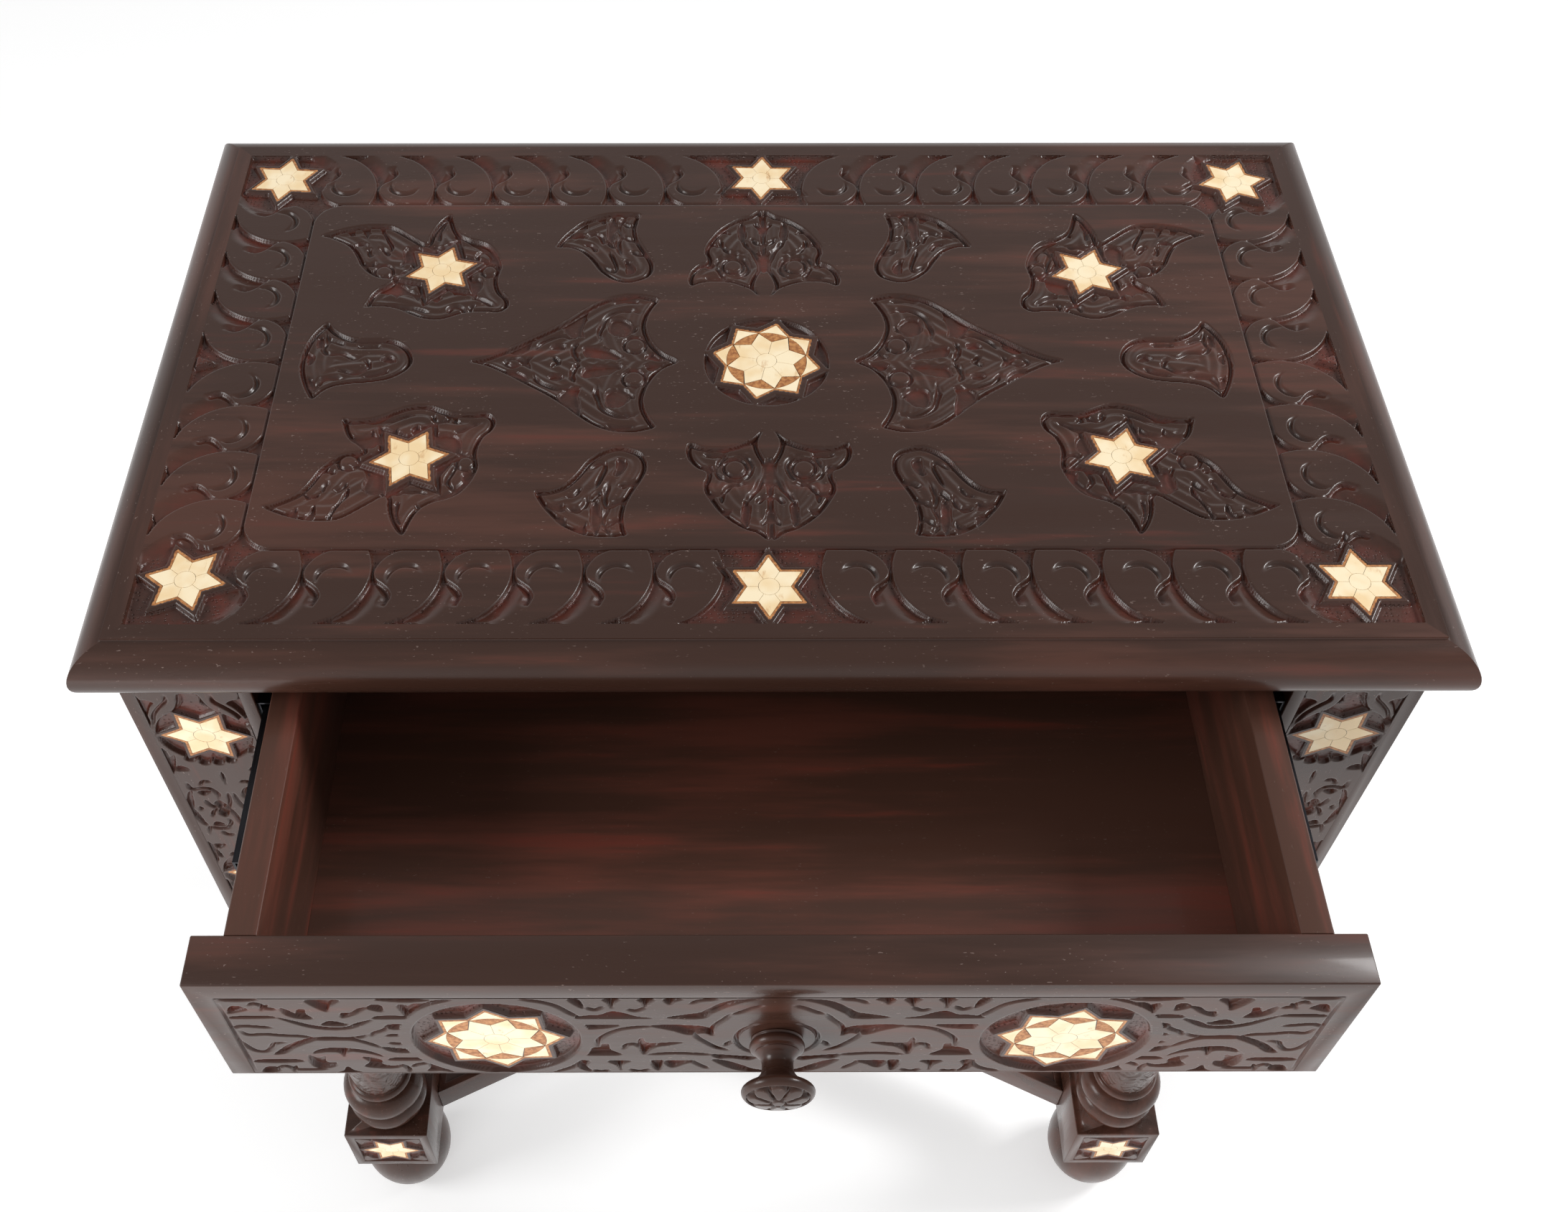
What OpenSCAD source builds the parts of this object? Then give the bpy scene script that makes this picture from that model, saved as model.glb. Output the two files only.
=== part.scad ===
// Side table with one drawer, turned legs, crossed stretcher and inlaid stars.
// Millimetres, +Z up, front towards -Y. The origin is on the floor, under the
// middle of the whole table as it stands with its drawer part open.

/* [Table] */
// Overall width of the top, over its moulded edge
top_w = 700; // [640:5:800]
// Overall depth of the top, over its moulded edge
top_d = 426; // [380:2:500]
// Height of the top above the floor
table_h = 824; // [780:2:880]
// Thickness of the top
slab_t = 31; // [28:0.5:36]
// How far the top overhangs the legs on every side
overhang = 14.7; // [12:0.1:22]

/* [Moulded edge] */
// How far the moulding stands out from the flat of the top
edge_out = 17; // [14:0.5:22]
// Width of the flat quirk at the top of the moulding
quirk_w = 1.4; // [1:0.1:3]
// Drop of that quirk below the flat of the top
quirk_drop = 1.9; // [1:0.1:3]
// Height of the ovolo below the quirk
ovolo_h = 16; // [12:0.5:18]

/* [Carved fields of the top] */
// Width of the plain rim round the border band
rim_w = 9; // [7:0.5:14]
// Width of the sunk border band
band_w = 49.5; // [46:0.5:54]
// Depth of the sunk border band
band_depth = 2.75; // [2:0.25:4]
// Corner radius of the raised middle field
field_r = 17; // [8:1:26]
// Radius of the round sinking in the middle
medallion_r = 35.6; // [34:0.2:42]
// Depth of the round sinking
medallion_depth = 3; // [2:0.25:4]

/* [Legs] */
// Side of the square head and of the square block of a leg
leg_sq = 68; // [64:1:76]
// Height of the case, and so of the square heads
case_h = 254; // [230:2:280]
// Height of the square block above the foot
block_h = 67.5; // [60:0.5:80]
// Radius of the turned shaft
shaft_r = 21.5; // [18:0.5:25]
// Swell of the shaft at its middle
shaft_swell = 1; // [0:0.25:2]
// Height of the torus against the square parts
torus_h = 20; // [16:0.5:24]
// Radius of that torus
torus_r = 31.6; // [29:0.2:32]
// Height of the larger torus beside it
roll_h = 24; // [20:0.5:28]
// Radius of the larger torus
roll_r = 32.5; // [30:0.5:33.5]
// Height of the bead next to the shaft
bead_h = 8; // [6:0.5:10]
// Radius of that bead
bead_r = 25.5; // [25.5:0.25:28]
// Width of the narrow necks between the rings
neck_w = 2.25; // [1.5:0.25:3]
// Radius of the necks
neck_r = 23.5; // [22.5:0.25:25]

/* [Feet] */
// Height of a turned foot
foot_h = 75; // [65:1:85]
// Largest radius of a foot
foot_r = 37; // [35:0.5:40]
// Radius of a foot where it stands on the floor
foot_sole_r = 22.5; // [18:0.5:26]
// Radius of a foot against the block
foot_top_r = 29; // [26:0.5:32]
// Height of the widest place of a foot
foot_belly_z = 45; // [38:1:52]
// Radius of the dowel turned on a foot
dowel_r = 12; // [9:0.5:14]
// Length of that dowel
dowel_l = 25; // [18:1:32]

/* [Case] */
// Thickness of the side and back panels
panel_t = 18; // [14:0.5:22]
// How far the panels stand behind the faces of the legs
panel_set = 8; // [4:0.5:12]
// Thickness of the tongues on the panels
tongue_t = 7; // [5:0.5:9]
// Length of the tongues on the panels
tongue_l = 8; // [6:0.5:10]
// Height of the shoulder under each tongue
tongue_up = 8; // [4:1:14]
// Thickness of the carved front panel under the drawer
apron_t = 22; // [18:0.5:26]
// How far the front panel stands behind the legs
apron_set = 2; // [1:0.25:4]
// Height of the runners that carry the slides
runner_h = 50; // [46:1:56]
// Depth of the blocks that hold the top, along the back
cleat_w = 14; // [10:0.5:15]
// Height of those blocks
cleat_h = 20; // [16:1:22]
// Radius of the shank of the screws in the case
screw_r = 2; // [1.5:0.1:2.5]
// Radius of the heads of those screws
screw_head_r = 4; // [3.5:0.1:5]
// Length of the screws that hold the top
top_screw_l = 38; // [34:1:42]

/* [Stretcher] */
// Width of a stretcher bar
bar_w = 36; // [30:1:42]
// Height of a stretcher bar
bar_h = 32; // [26:1:38]
// Height of the stretcher above the lower face of the blocks
bar_up = 5; // [3:1:15]
// How far the notched ends reach past the corners of the blocks
bar_past = 12; // [8:1:16]
// Width of the margin beside the sunk channel on a bar
channel_margin = 6; // [4:0.5:8]
// Depth of that channel
channel_depth = 2; // [1:0.25:3]

/* [Carved faces] */
// Margin beside the sunk fields on legs and blocks
leg_margin = 7.5; // [6:0.5:10]
// Depth of the sunk fields on the front
carve_depth = 3; // [2:0.25:3.5]
// Margin round the sunk field of the front panel
apron_margin = 12; // [9:0.5:16]

/* [Drawer] */
// How far the drawer stands open
drawer_open = 139; // [60:1:220]
// Gap between the shut drawer front and the legs
shut_gap = 0.5; // [0.3:0.1:1.5]
// How far the drawer front laps over each leg
front_lap = 2.7; // [1:0.1:6]
// Gap between the top and the drawer front
front_gap = 6.2; // [4:0.2:9]
// Height of the drawer front
front_h = 102; // [96:1:112]
// Thickness of the drawer front
front_t = 25.1; // [23.5:0.1:28]
// How far the drawer front laps down over the front panel
apron_lap = 2.2; // [1:0.1:4]
// Thickness of the drawer sides
side_t = 15.5; // [12:0.5:18]
// Gap between the back panel and the shut drawer
shut_back_gap = 21.1; // [16:0.1:60]
// Gap under the drawer sides, over the front panel
box_gap = 3; // [2:0.25:5]
// Thickness of the drawer back
back_t = 12; // [10:0.5:15]
// Depth of the housings of the drawer back
housing = 5; // [3:0.5:7]
// Thickness of the drawer bottom
bottom_t = 5; // [4:0.5:7]
// Rise of the drawer bottom over the lower edge of the sides
bottom_up = 7.4; // [6:0.2:11]
// Depth of the grooves that hold the bottom
groove = 6; // [4:0.5:8]
// Dovetails on each side
tails = 3; // [2:1:5]
// Length of the dovetails
tail_l = 16; // [12:0.5:19]
// Plain margin over the carving of the drawer front
front_top_margin = 14; // [10:0.5:20]
// Plain margin at the ends of that carving
front_end_margin = 12; // [8:0.5:18]
// Thin lip left under that carving
front_lip = 2; // [1.5:0.25:5]

/* [Slides] */
// Side gap that the slides fill
slide_gap = 12.5; // [12.5:0.1:13]
// Gap between the back panel and the outer and middle slide members
slide_back_gap = 18.6; // [14:0.1:50]
// Distance of the middle of the slides under the top
slide_down = 47; // [44:0.5:52]
// Half height of the outer member
slide_half = 22.5; // [22:0.25:23.5]
// Thickness of the slide metal
sheet = 1.2; // [1:0.1:1.2]
// Diameter of the balls
ball_d = 2.6; // [2.4:0.05:2.7]
// Clear height of a ball race
race = 2.8; // [2.8:0.05:3]
// How far the outer member stands behind the front of the legs
slide_set = 2; // [1:0.25:4]
// Share of the drawer's travel that the middle member makes
middle_share = 0.65; // [0.5:0.05:0.7]
// Balls in a row
balls = 7; // [4:1:8]
// Distance between balls
ball_pitch = 11; // [8:0.5:12]

/* [Knob] */
// How far the knob stands out
knob_l = 32; // [28:0.5:36]
// Radius of the knob's head
knob_r = 17.5; // [15:0.5:20]
// Radius of the knob's collar
collar_r = 13.25; // [12:0.25:15]
// Radius of the knob's neck
knob_neck_r = 7.5; // [6.5:0.25:9]
// Distance from the middle to each large star of the drawer front
front_star_x = 135.5; // [110:0.5:160]
// Height of the stars and the knob over the lower edge of the drawer front
front_star_up = 42.2; // [38:0.2:48]

/* [Inlay] */
// Thickness of the inlaid pieces
inlay_t = 1.6; // [1:0.1:1.9]
// Width of the brown edging of the six-pointed stars
edging_w = 1.6; // [1:0.1:2]
// Glue joint between inlaid pieces
joint = 0.2; // [0.1:0.05:0.3]
// Tip radius of the stars in the border band
border_star_r = 19; // [16:0.25:20]
// Tip radius of the stars in the middle field
field_star_r = 19; // [16:0.25:22]
// Place of the field stars from the middle, to the side
field_star_x = 193; // [180:1:210]
// Place of the field stars from the middle, to front and back
field_star_y = 75; // [66:1:84]
// Tip radius of the stars on the leg heads
stile_star_r = 20; // [17:0.25:21]
// Distance of the upper leg star below the top
stile_star_down = 52.5; // [45:1:60]
// Distance of the lower leg star above the lower end of the head
stile_star_up = 51; // [45:1:60]
// Tip radius of the stars on the lower blocks
block_star_r = 20; // [17:0.25:21]
// Tip radius of the eight-pointed star of the top
centre_star_r = 29.5; // [26:0.25:30]
// Tip radius of the eight-pointed stars of the drawer front
front_star_r = 31; // [28:0.25:32]
// Width of the brown edging of the eight-pointed stars
big_edging_w = 1.5; // [1:0.1:2]
// Width of the dark wood left standing round every star
island_w = 1.5; // [1:0.25:2.5]
// Width of the dark wood left standing round the middle star of the top
centre_island_w = 2.8; // [1:0.1:3]
// Turn of the middle star of the top
centre_star_turn = -12; // [-22:0.5:22]

/* [Hidden] */
$fn = 48;

wood = "#33231d";
inner_wood = "#4a2a22";
bone = "#f4e2b6";
edging = "#c58a4e";
black_metal = "#1d1d20";
bright_metal = "#b9bbc0";

// room for a shank in its hole, and of a dowel in its hole
hole_play = 0.15;
// an amount that lets a cutter pass a face
past = 1;

// top
flat_x = top_w/2 - edge_out;
flat_y = top_d/2 - edge_out;
board_x = flat_x - rim_w;
board_y = flat_y - rim_w;
field_x = board_x - band_w;
field_y = board_y - band_w;
slab_z = table_h - slab_t;

// case and legs
half_x = top_w/2 - overhang;
half_y = top_d/2 - overhang;
leg_x = half_x - leg_sq/2;
leg_y = half_y - leg_sq/2;
inner_x = half_x - leg_sq;
inner_y = half_y - leg_sq;
case_z = slab_z - case_h;
block_z = foot_h + block_h;
panel_mid = leg_sq/2 - panel_set - panel_t/2;
apron_mid = leg_sq/2 - apron_set - apron_t/2;
panel_in_x = half_x - panel_set - panel_t;
panel_in_y = half_y - panel_set - panel_t;

// drawer
front_w = 2*(inner_x + front_lap);
front_top = slab_z - front_gap;
front_bottom = front_top - front_h;
front_back_y = -half_y - drawer_open;
front_face_y = front_back_y - front_t;
apron_top = front_bottom + apron_lap;
box_x = inner_x - slide_gap;
box_in_x = box_x - side_t;
box_l = panel_in_y - shut_back_gap + half_y + shut_gap;
box_bottom = apron_top + box_gap;
box_h = front_top - box_bottom;
box_end_y = front_back_y + box_l;
bottom_z = box_bottom + bottom_up;
front_star_z = front_bottom + front_star_up;
tail_pitch = box_h/tails;
tail_half = tail_pitch*0.26;
tail_flare = tail_l/7;

// slides, from the outer face at the leg inwards
slide_z = slab_z - slide_down;
case_front_y = -half_y + slide_set;
slide_l = panel_in_y - slide_back_gap - case_front_y;
shut_travel = drawer_open - shut_gap;
middle_clear = 1.2;
middle_front_y = case_front_y - middle_clear - middle_share*shut_travel;
member_clear = 1;
middle_half = slide_half - sheet - race;
inner_half = middle_half - sheet - race;
case_flange = 9.5;
middle_web = 2*sheet;
middle_flange = 11;
inner_flange = 5;
outer_ball_u = (middle_web + sheet + case_flange)/2;
inner_ball_u = (inner_flange + middle_flange)/2;
row_l = (balls - 1)*ball_pitch + 2*ball_d;
row_clear = 2;
cage_t = 0.8;
cage_w = 4;
slide_screw_y = [-half_y + leg_sq/2, -inner_y/3, inner_y/3, half_y - 0.8*leg_sq];
slide_head_t = 0.9;
slide_head_r = 3.5;
slide_screw_l = 14;
member_screw_at = [40, 0.5*box_l, box_l - 60];
member_screw_l = 10;

// origin under the middle of the open table
centre_y = (front_face_y - knob_l + top_d/2)/2;

module place() translate([0, -centre_y, 0]) children();
module at_left() mirror([1, 0, 0]) children();
module at_back() mirror([0, 1, 0]) children();

// ------------------------------------------------------------------ stars

function star_ring(n, tip, notch) =
    [for (i = [0:2*n - 1]) (i % 2 == 0 ? tip : notch)*[cos(180*i/n), sin(180*i/n)]];

// offset of the sides by w moves the tips by w over the sine of half the tip
function six_notch(tip) = tip/sqrt(3);
function eight_notch(tip) = tip*cos(45)/cos(22.5);
function six_ring(tip, w) = star_ring(6, tip + 2*w, six_notch(tip + 2*w));
function eight_ring(tip, w) =
    star_ring(8, tip + sqrt(2)*w, eight_notch(tip + sqrt(2)*w));

disc_share = 0.28;      // small disc of a six-pointed star
petal_valley = 0.52;    // valleys between the petals of an eight-pointed star
boss_share = 0.19;      // small disc of an eight-pointed star

// flat shapes of the two kinds of star, drawn with one tip along +X
module six_bone(tip) {
    difference() {
        polygon(star_ring(6, tip, six_notch(tip)));
        for (i = [0:2]) rotate(30 + 60*i) square([3*tip, joint], center = true);
        circle(r = disc_share*tip + joint);
    }
    circle(r = disc_share*tip);
}

module six_edging(tip)
    difference() {
        polygon(six_ring(tip, edging_w));
        polygon(six_ring(tip, joint));
    }

module eight_bone(tip) {
    notch = eight_notch(tip);
    difference() {
        polygon(star_ring(8, tip, notch));
        circle(r = notch + joint);
    }
    difference() {
        rotate(22.5) polygon(star_ring(8, notch - 2*joint, petal_valley*tip));
        for (i = [0:3]) rotate(45*i) square([3*tip, joint], center = true);
        circle(r = boss_share*tip + joint);
    }
    circle(r = boss_share*tip);
}

module eight_edging(tip) {
    notch = eight_notch(tip);
    difference() {
        polygon(eight_ring(tip, big_edging_w));
        polygon(eight_ring(tip, joint));
    }
    difference() {
        circle(r = notch);
        rotate(22.5)
            polygon(star_ring(8, notch + 3*joint, petal_valley*tip + 2*joint));
    }
}

module inlay() linear_extrude(inlay_t) children();

// the pocket for a star, down from z = 0 and open above
module six_pocket(tip)
    translate([0, 0, -inlay_t]) linear_extrude(inlay_t + past)
        polygon(six_ring(tip, edging_w));

module eight_pocket(tip)
    translate([0, 0, -inlay_t]) linear_extrude(inlay_t + past)
        polygon(eight_ring(tip, big_edging_w));

module six_island(tip, depth)
    translate([0, 0, -depth - past]) linear_extrude(depth + 3*past)
        polygon(six_ring(tip, edging_w + island_w));

module eight_island(tip, depth, w)
    translate([0, 0, -depth - past]) linear_extrude(depth + 3*past)
        polygon(eight_ring(tip, big_edging_w + w));

// The stars are laid by hand: [to the right, to the back, turn] for the
// front and the back star, from left to right.
border_lay = [[[1.2, 3.8, 52], [0.5, 0.5, 26]], [[-2, -1.2, 30], [0, 1.8, 28]],
    [[-1.8, 1.4, 30], [-4, -2.2, 8]]];
field_lay = [[[-1, 0, 8], [1, 2.5, 16]], [[-3, 1, 14], [-1, 0, 10]]];
border_spots = [for (i = [0:2], j = [0:1]) let (lay = border_lay[i][j])
    [(i - 1)*(field_x + band_w/2) + lay[0],
        (2*j - 1)*(field_y + band_w/2) + lay[1], lay[2]]];
field_spots = [for (i = [0:1], j = [0:1]) let (lay = field_lay[i][j])
    [(2*i - 1)*field_star_x + lay[0], (2*j - 1)*field_star_y + lay[1], lay[2]]];
front_turn = [-2, 2];     // turn of the stars on the left and on the right leg, a mirrored pair
drawer_lay = [[1.6, 4], [2, -7]];    // [to the right, turn] on the drawer front

module at_border_stars()
    for (p = border_spots) translate([p[0], p[1], table_h]) rotate(p[2]) children();
module at_field_stars()
    for (p = field_spots) translate([p[0], p[1], table_h]) rotate(p[2]) children();
module at_centre_star() translate([0, 0, table_h]) rotate(centre_star_turn) children();
// on the fronts: local Z points out of the face, local X to the right
module on_front(x, y, z) translate([x, y, z]) rotate([90, 0, 0]) children();
module at_stile_stars()
    for (i = [0:1], z = [slab_z - stile_star_down, case_z + stile_star_up])
        on_front((2*i - 1)*leg_x, -half_y, z) rotate(front_turn[i]) children();
module at_block_stars()
    for (i = [0:1])
        on_front((2*i - 1)*leg_x, -half_y, foot_h + block_h/2)
            rotate(front_turn[i]) children();
module at_drawer_stars()
    for (i = [0:1])
        on_front((2*i - 1)*front_star_x + drawer_lay[i][0], front_face_y,
            front_star_z) rotate(drawer_lay[i][1]) children();

module border_star_bone() color(bone)
    at_border_stars() translate([0, 0, -inlay_t]) inlay() six_bone(border_star_r);
module border_star_edging() color(edging)
    at_border_stars() translate([0, 0, -inlay_t]) inlay() six_edging(border_star_r);
module field_star_bone() color(bone)
    at_field_stars() translate([0, 0, -inlay_t]) inlay() six_bone(field_star_r);
module field_star_edging() color(edging)
    at_field_stars() translate([0, 0, -inlay_t]) inlay() six_edging(field_star_r);
module centre_star_bone() color(bone)
    at_centre_star() translate([0, 0, -inlay_t]) inlay() eight_bone(centre_star_r);
module centre_star_edging() color(edging)
    at_centre_star() translate([0, 0, -inlay_t]) inlay() eight_edging(centre_star_r);
module stile_star_bone() color(bone)
    at_stile_stars() translate([0, 0, -inlay_t]) inlay() six_bone(stile_star_r);
module stile_star_edging() color(edging)
    at_stile_stars() translate([0, 0, -inlay_t]) inlay() six_edging(stile_star_r);
module block_star_bone() color(bone)
    at_block_stars() translate([0, 0, -inlay_t]) inlay() six_bone(block_star_r);
module block_star_edging() color(edging)
    at_block_stars() translate([0, 0, -inlay_t]) inlay() six_edging(block_star_r);
module drawer_star_bone() color(bone)
    at_drawer_stars() translate([0, 0, -inlay_t]) inlay() eight_bone(front_star_r);
module drawer_star_edging() color(edging)
    at_drawer_stars() translate([0, 0, -inlay_t]) inlay() eight_edging(front_star_r);

// -------------------------------------------------------------------- top

// block with rounded upright edges, on z = 0
module rounded_block(x, y, r, h)
    linear_extrude(h) {
        square([2*x - 2*r, 2*y], center = true);
        square([2*x, 2*y - 2*r], center = true);
        for (i = [-1, 1], j = [-1, 1]) translate([i*(x - r), j*(y - r)]) circle(r = r);
    }

module top_panel() color(wood)
    difference() {
        translate([-board_x, -board_y, slab_z]) cube([2*board_x, 2*board_y, slab_t]);
        difference() {
            translate([-board_x - past, -board_y - past, table_h - band_depth])
                cube([2*(board_x + past), 2*(board_y + past), band_depth + past]);
            translate([0, 0, table_h - band_depth - past])
                rounded_block(field_x, field_y, field_r, band_depth + 3*past);
            at_border_stars() six_island(border_star_r, band_depth);
        }
        difference() {
            translate([0, 0, table_h - medallion_depth])
                cylinder(r = medallion_r, h = medallion_depth + past);
            at_centre_star() eight_island(centre_star_r, medallion_depth, centre_island_w);
        }
        at_border_stars() six_pocket(border_star_r);
        at_field_stars() six_pocket(field_star_r);
        at_centre_star() eight_pocket(centre_star_r);
        for (p = top_screw_spots)
            translate([p[0], p[1], slab_z - past])
                cylinder(r = screw_r + hole_play, h = top_screw_l - cleat_h + 2*past);
    }

// section of the moulded edge: x outwards from the board, y up from below
ovolo_w = edge_out - quirk_w;
under_r = slab_t - quirk_drop - ovolo_h;
edge_w = rim_w + edge_out;
arc_steps = 10;
function arc_points(cx, cy, rx, ry, a0, a1) =
    [for (i = [0:arc_steps]) let (a = a0 + (a1 - a0)*i/arc_steps)
        [cx + rx*cos(a), cy + ry*sin(a)]];
edge_section = concat([[0, 0]],
    arc_points(edge_w - under_r, under_r, under_r, under_r, -90, 0),
    arc_points(rim_w + quirk_w, under_r, ovolo_w, ovolo_h, 5, 90),
    [[rim_w, slab_t - quirk_drop], [rim_w, slab_t], [0, slab_t]]);

// one mitred length along X, its joint face on y = -half_depth
module edge_length(half_len, half_depth)
    intersection() {
        translate([-half_len - edge_w, -half_depth, slab_z])
            rotate([90, 0, 90]) linear_extrude(2*(half_len + edge_w))
                mirror([1, 0]) polygon(edge_section);
        translate([0, -half_depth, slab_z - past]) linear_extrude(slab_t + 2*past)
            polygon([[-half_len, 0], [half_len, 0],
                [half_len + edge_w + past, -edge_w - past],
                [-half_len - edge_w - past, -edge_w - past]]);
    }

module edge_front() color(wood) edge_length(board_x, board_y);
module edge_back() color(wood) at_back() edge_length(board_x, board_y);
module edge_right() color(wood) rotate(90) edge_length(board_y, board_x);
module edge_left() color(wood) rotate(-90) edge_length(board_y, board_x);

// ------------------------------------------------------------------- legs

function ring_points(z0, h, r) =
    [for (i = [0:arc_steps]) let (a = -90 + 180*i/arc_steps)
        [r - h/2 + h/2*cos(a), z0 + h/2 + h/2*sin(a)]];

// rings upwards from the block, as one half of the turned outline
roll_z = torus_h + neck_w;
bead_z = roll_z + roll_h + neck_w;
shaft_z = bead_z + bead_h;
rings_up = concat(ring_points(0, torus_h, torus_r),
    [[neck_r, torus_h], [neck_r, roll_z]], ring_points(roll_z, roll_h, roll_r),
    [[neck_r, roll_z + roll_h], [neck_r, bead_z]],
    ring_points(bead_z, bead_h, bead_r));
turned_l = case_z - block_z;
shaft_points = [for (i = [0:12]) let (t = i/12)
    [shaft_r + shaft_swell*sin(180*t), shaft_z + (turned_l - 2*shaft_z)*t]];
rings_down = [for (i = [len(rings_up) - 1:-1:0])
    [rings_up[i][0], turned_l - rings_up[i][1]]];

module turned_column()
    translate([0, 0, block_z]) rotate_extrude()
        polygon(concat([[0, -past], [neck_r, -past], [neck_r, 0]], rings_up,
            shaft_points, rings_down,
            [[neck_r, turned_l], [neck_r, turned_l + past], [0, turned_l + past]]));

// a leg about its own axis; local +X and +Y point out of the table
module leg_body() {
    translate([-leg_sq/2, -leg_sq/2, case_z]) cube([leg_sq, leg_sq, case_h]);
    translate([-leg_sq/2, -leg_sq/2, foot_h]) cube([leg_sq, leg_sq, block_h]);
    turned_column();
}

// groove in the inner face of a leg head for a panel that meets it along X
module panel_groove(mid, z0, z1)
    translate([-leg_sq/2 - past, mid - tongue_t/2, z0])
        cube([tongue_l + past, tongue_t, z1 - z0]);

module leg_cuts(front) {
    translate([0, 0, foot_h - past])
        cylinder(r = dowel_r + hole_play, h = dowel_l + 2*past);
    // side panel
    mirror([1, -1, 0])
        panel_groove(panel_mid, case_z + tongue_up, slab_z + past);
    // front panel or back panel
    if (front) panel_groove(apron_mid, case_z + tongue_up, apron_top - tongue_up);
    else panel_groove(panel_mid, case_z + tongue_up, slab_z + past);
    // slide screws
    screw_y = leg_y - (front ? -slide_screw_y[0] : slide_screw_y[3]);
    translate([-leg_sq/2 - past, -screw_y, slide_z]) rotate([0, 90, 0])
        cylinder(r = screw_r + hole_play, h = slide_screw_l + 2*past);
}

module leg_right_back() translate([leg_x, leg_y, 0])
    difference() {
        leg_body();
        leg_cuts(false);
    }

module leg_right_front()
    difference() {
        translate([leg_x, -leg_y, 0]) at_back() difference() {
            leg_body();
            leg_cuts(true);
        }
        difference() {
            union() {
                translate([inner_x + leg_margin, -half_y - past, case_z + leg_margin])
                    cube([leg_sq - 2*leg_margin, carve_depth + past,
                        case_h - 2*leg_margin]);
                translate([inner_x + leg_margin, -half_y - past, foot_h + leg_margin])
                    cube([leg_sq - 2*leg_margin, carve_depth + past,
                        block_h - 2*leg_margin]);
            }
            at_stile_stars() six_island(stile_star_r, carve_depth);
            at_block_stars() six_island(block_star_r, carve_depth);
        }
        at_stile_stars() six_pocket(stile_star_r);
        at_block_stars() six_pocket(block_star_r);
    }

module leg_front_right() color(wood) leg_right_front();
module leg_front_left() color(wood) at_left() leg_right_front();
module leg_back_right() color(wood) leg_right_back();
module leg_back_left() color(wood) at_left() leg_right_back();

// foot: full below its belly, rounded in towards the block above it
foot_steps = 12;
foot_low = [for (i = [0:foot_steps]) let (t = 1 - i/foot_steps)
    [foot_r - (foot_r - foot_sole_r)*pow(t, 2.2), foot_belly_z*(1 - t)]];
foot_high = [for (i = [1:foot_steps]) let (t = i/foot_steps)
    [foot_r - (foot_r - foot_top_r)*pow(t, 2), foot_belly_z + (foot_h - foot_belly_z)*t]];

module foot_at(x, y) color(wood)
    translate([x, y, 0]) {
        rotate_extrude()
            polygon(concat([[0, 0]], foot_low, foot_high,
                [[dowel_r, foot_h], [dowel_r, foot_h + dowel_l], [0, foot_h + dowel_l]]));
    }

module foot_front_left() foot_at(-leg_x, -leg_y);
module foot_front_right() foot_at(leg_x, -leg_y);
module foot_back_left() foot_at(-leg_x, leg_y);
module foot_back_right() foot_at(leg_x, leg_y);

// ------------------------------------------------------------------- case

// panel of half length l along X, between z0 and z1, with end tongues
module tongued_panel(l, t, z0, z1, tongue_z1) {
    translate([-l, -t/2, z0]) cube([2*l, t, z1 - z0]);
    translate([-l - tongue_l, -tongue_t/2, z0 + tongue_up])
        cube([2*(l + tongue_l), tongue_t, tongue_z1 - z0 - tongue_up]);
}

module side_right() color(wood)
    translate([half_x - panel_set - panel_t/2, 0, 0]) rotate(90)
        tongued_panel(inner_y, panel_t, case_z, slab_z, slab_z);
module side_panel_right() side_right();
module side_panel_left() at_left() side_right();

module back_panel() color(wood)
    translate([0, half_y - panel_set - panel_t/2, 0])
        tongued_panel(inner_x, panel_t, case_z, slab_z, slab_z);

module front_apron() color(wood)
    difference() {
        translate([0, -half_y + apron_set + apron_t/2, 0])
            tongued_panel(inner_x, apron_t, case_z, apron_top, apron_top - tongue_up);
        translate([-inner_x + apron_margin, -half_y + apron_set - past,
                case_z + apron_margin])
            cube([2*(inner_x - apron_margin), carve_depth + past,
                apron_top - case_z - 2*apron_margin]);
    }

runner_z = slide_z - runner_h/2;
module runner_body() color(inner_wood)
    difference() {
        translate([inner_x, -inner_y, runner_z])
            cube([panel_in_x - inner_x, 2*inner_y, runner_h]);
        for (i = [1, 2])
            translate([inner_x - past, slide_screw_y[i], slide_z]) rotate([0, 90, 0])
                cylinder(r = screw_r + hole_play, h = slide_screw_l + 2*past);
    }
module runner_right() runner_body();
module runner_left() at_left() runner_body();

// blocks under the top, screwed up into it
side_cleat_w = panel_in_x - inner_x - 6;
side_cleat_z = runner_z + runner_h;
top_screw_x = panel_in_x - side_cleat_w/2;
top_screw_y = panel_in_y - cleat_w/2;
back_cleat_half = 0.7*inner_x;
side_screw_spots = [for (y = [-0.6, 0.6]) [top_screw_x, y*inner_y]];
back_screw_spots = [for (x = [-0.75, 0, 0.75]) [x*back_cleat_half, top_screw_y]];
top_screw_spots = concat(side_screw_spots,
    [for (p = side_screw_spots) [-p[0], p[1]]], back_screw_spots);

module cleat_hole(p)
    translate([p[0], p[1], side_cleat_z - past])
        cylinder(r = screw_r + hole_play, h = slab_z - side_cleat_z + 2*past);

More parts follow.
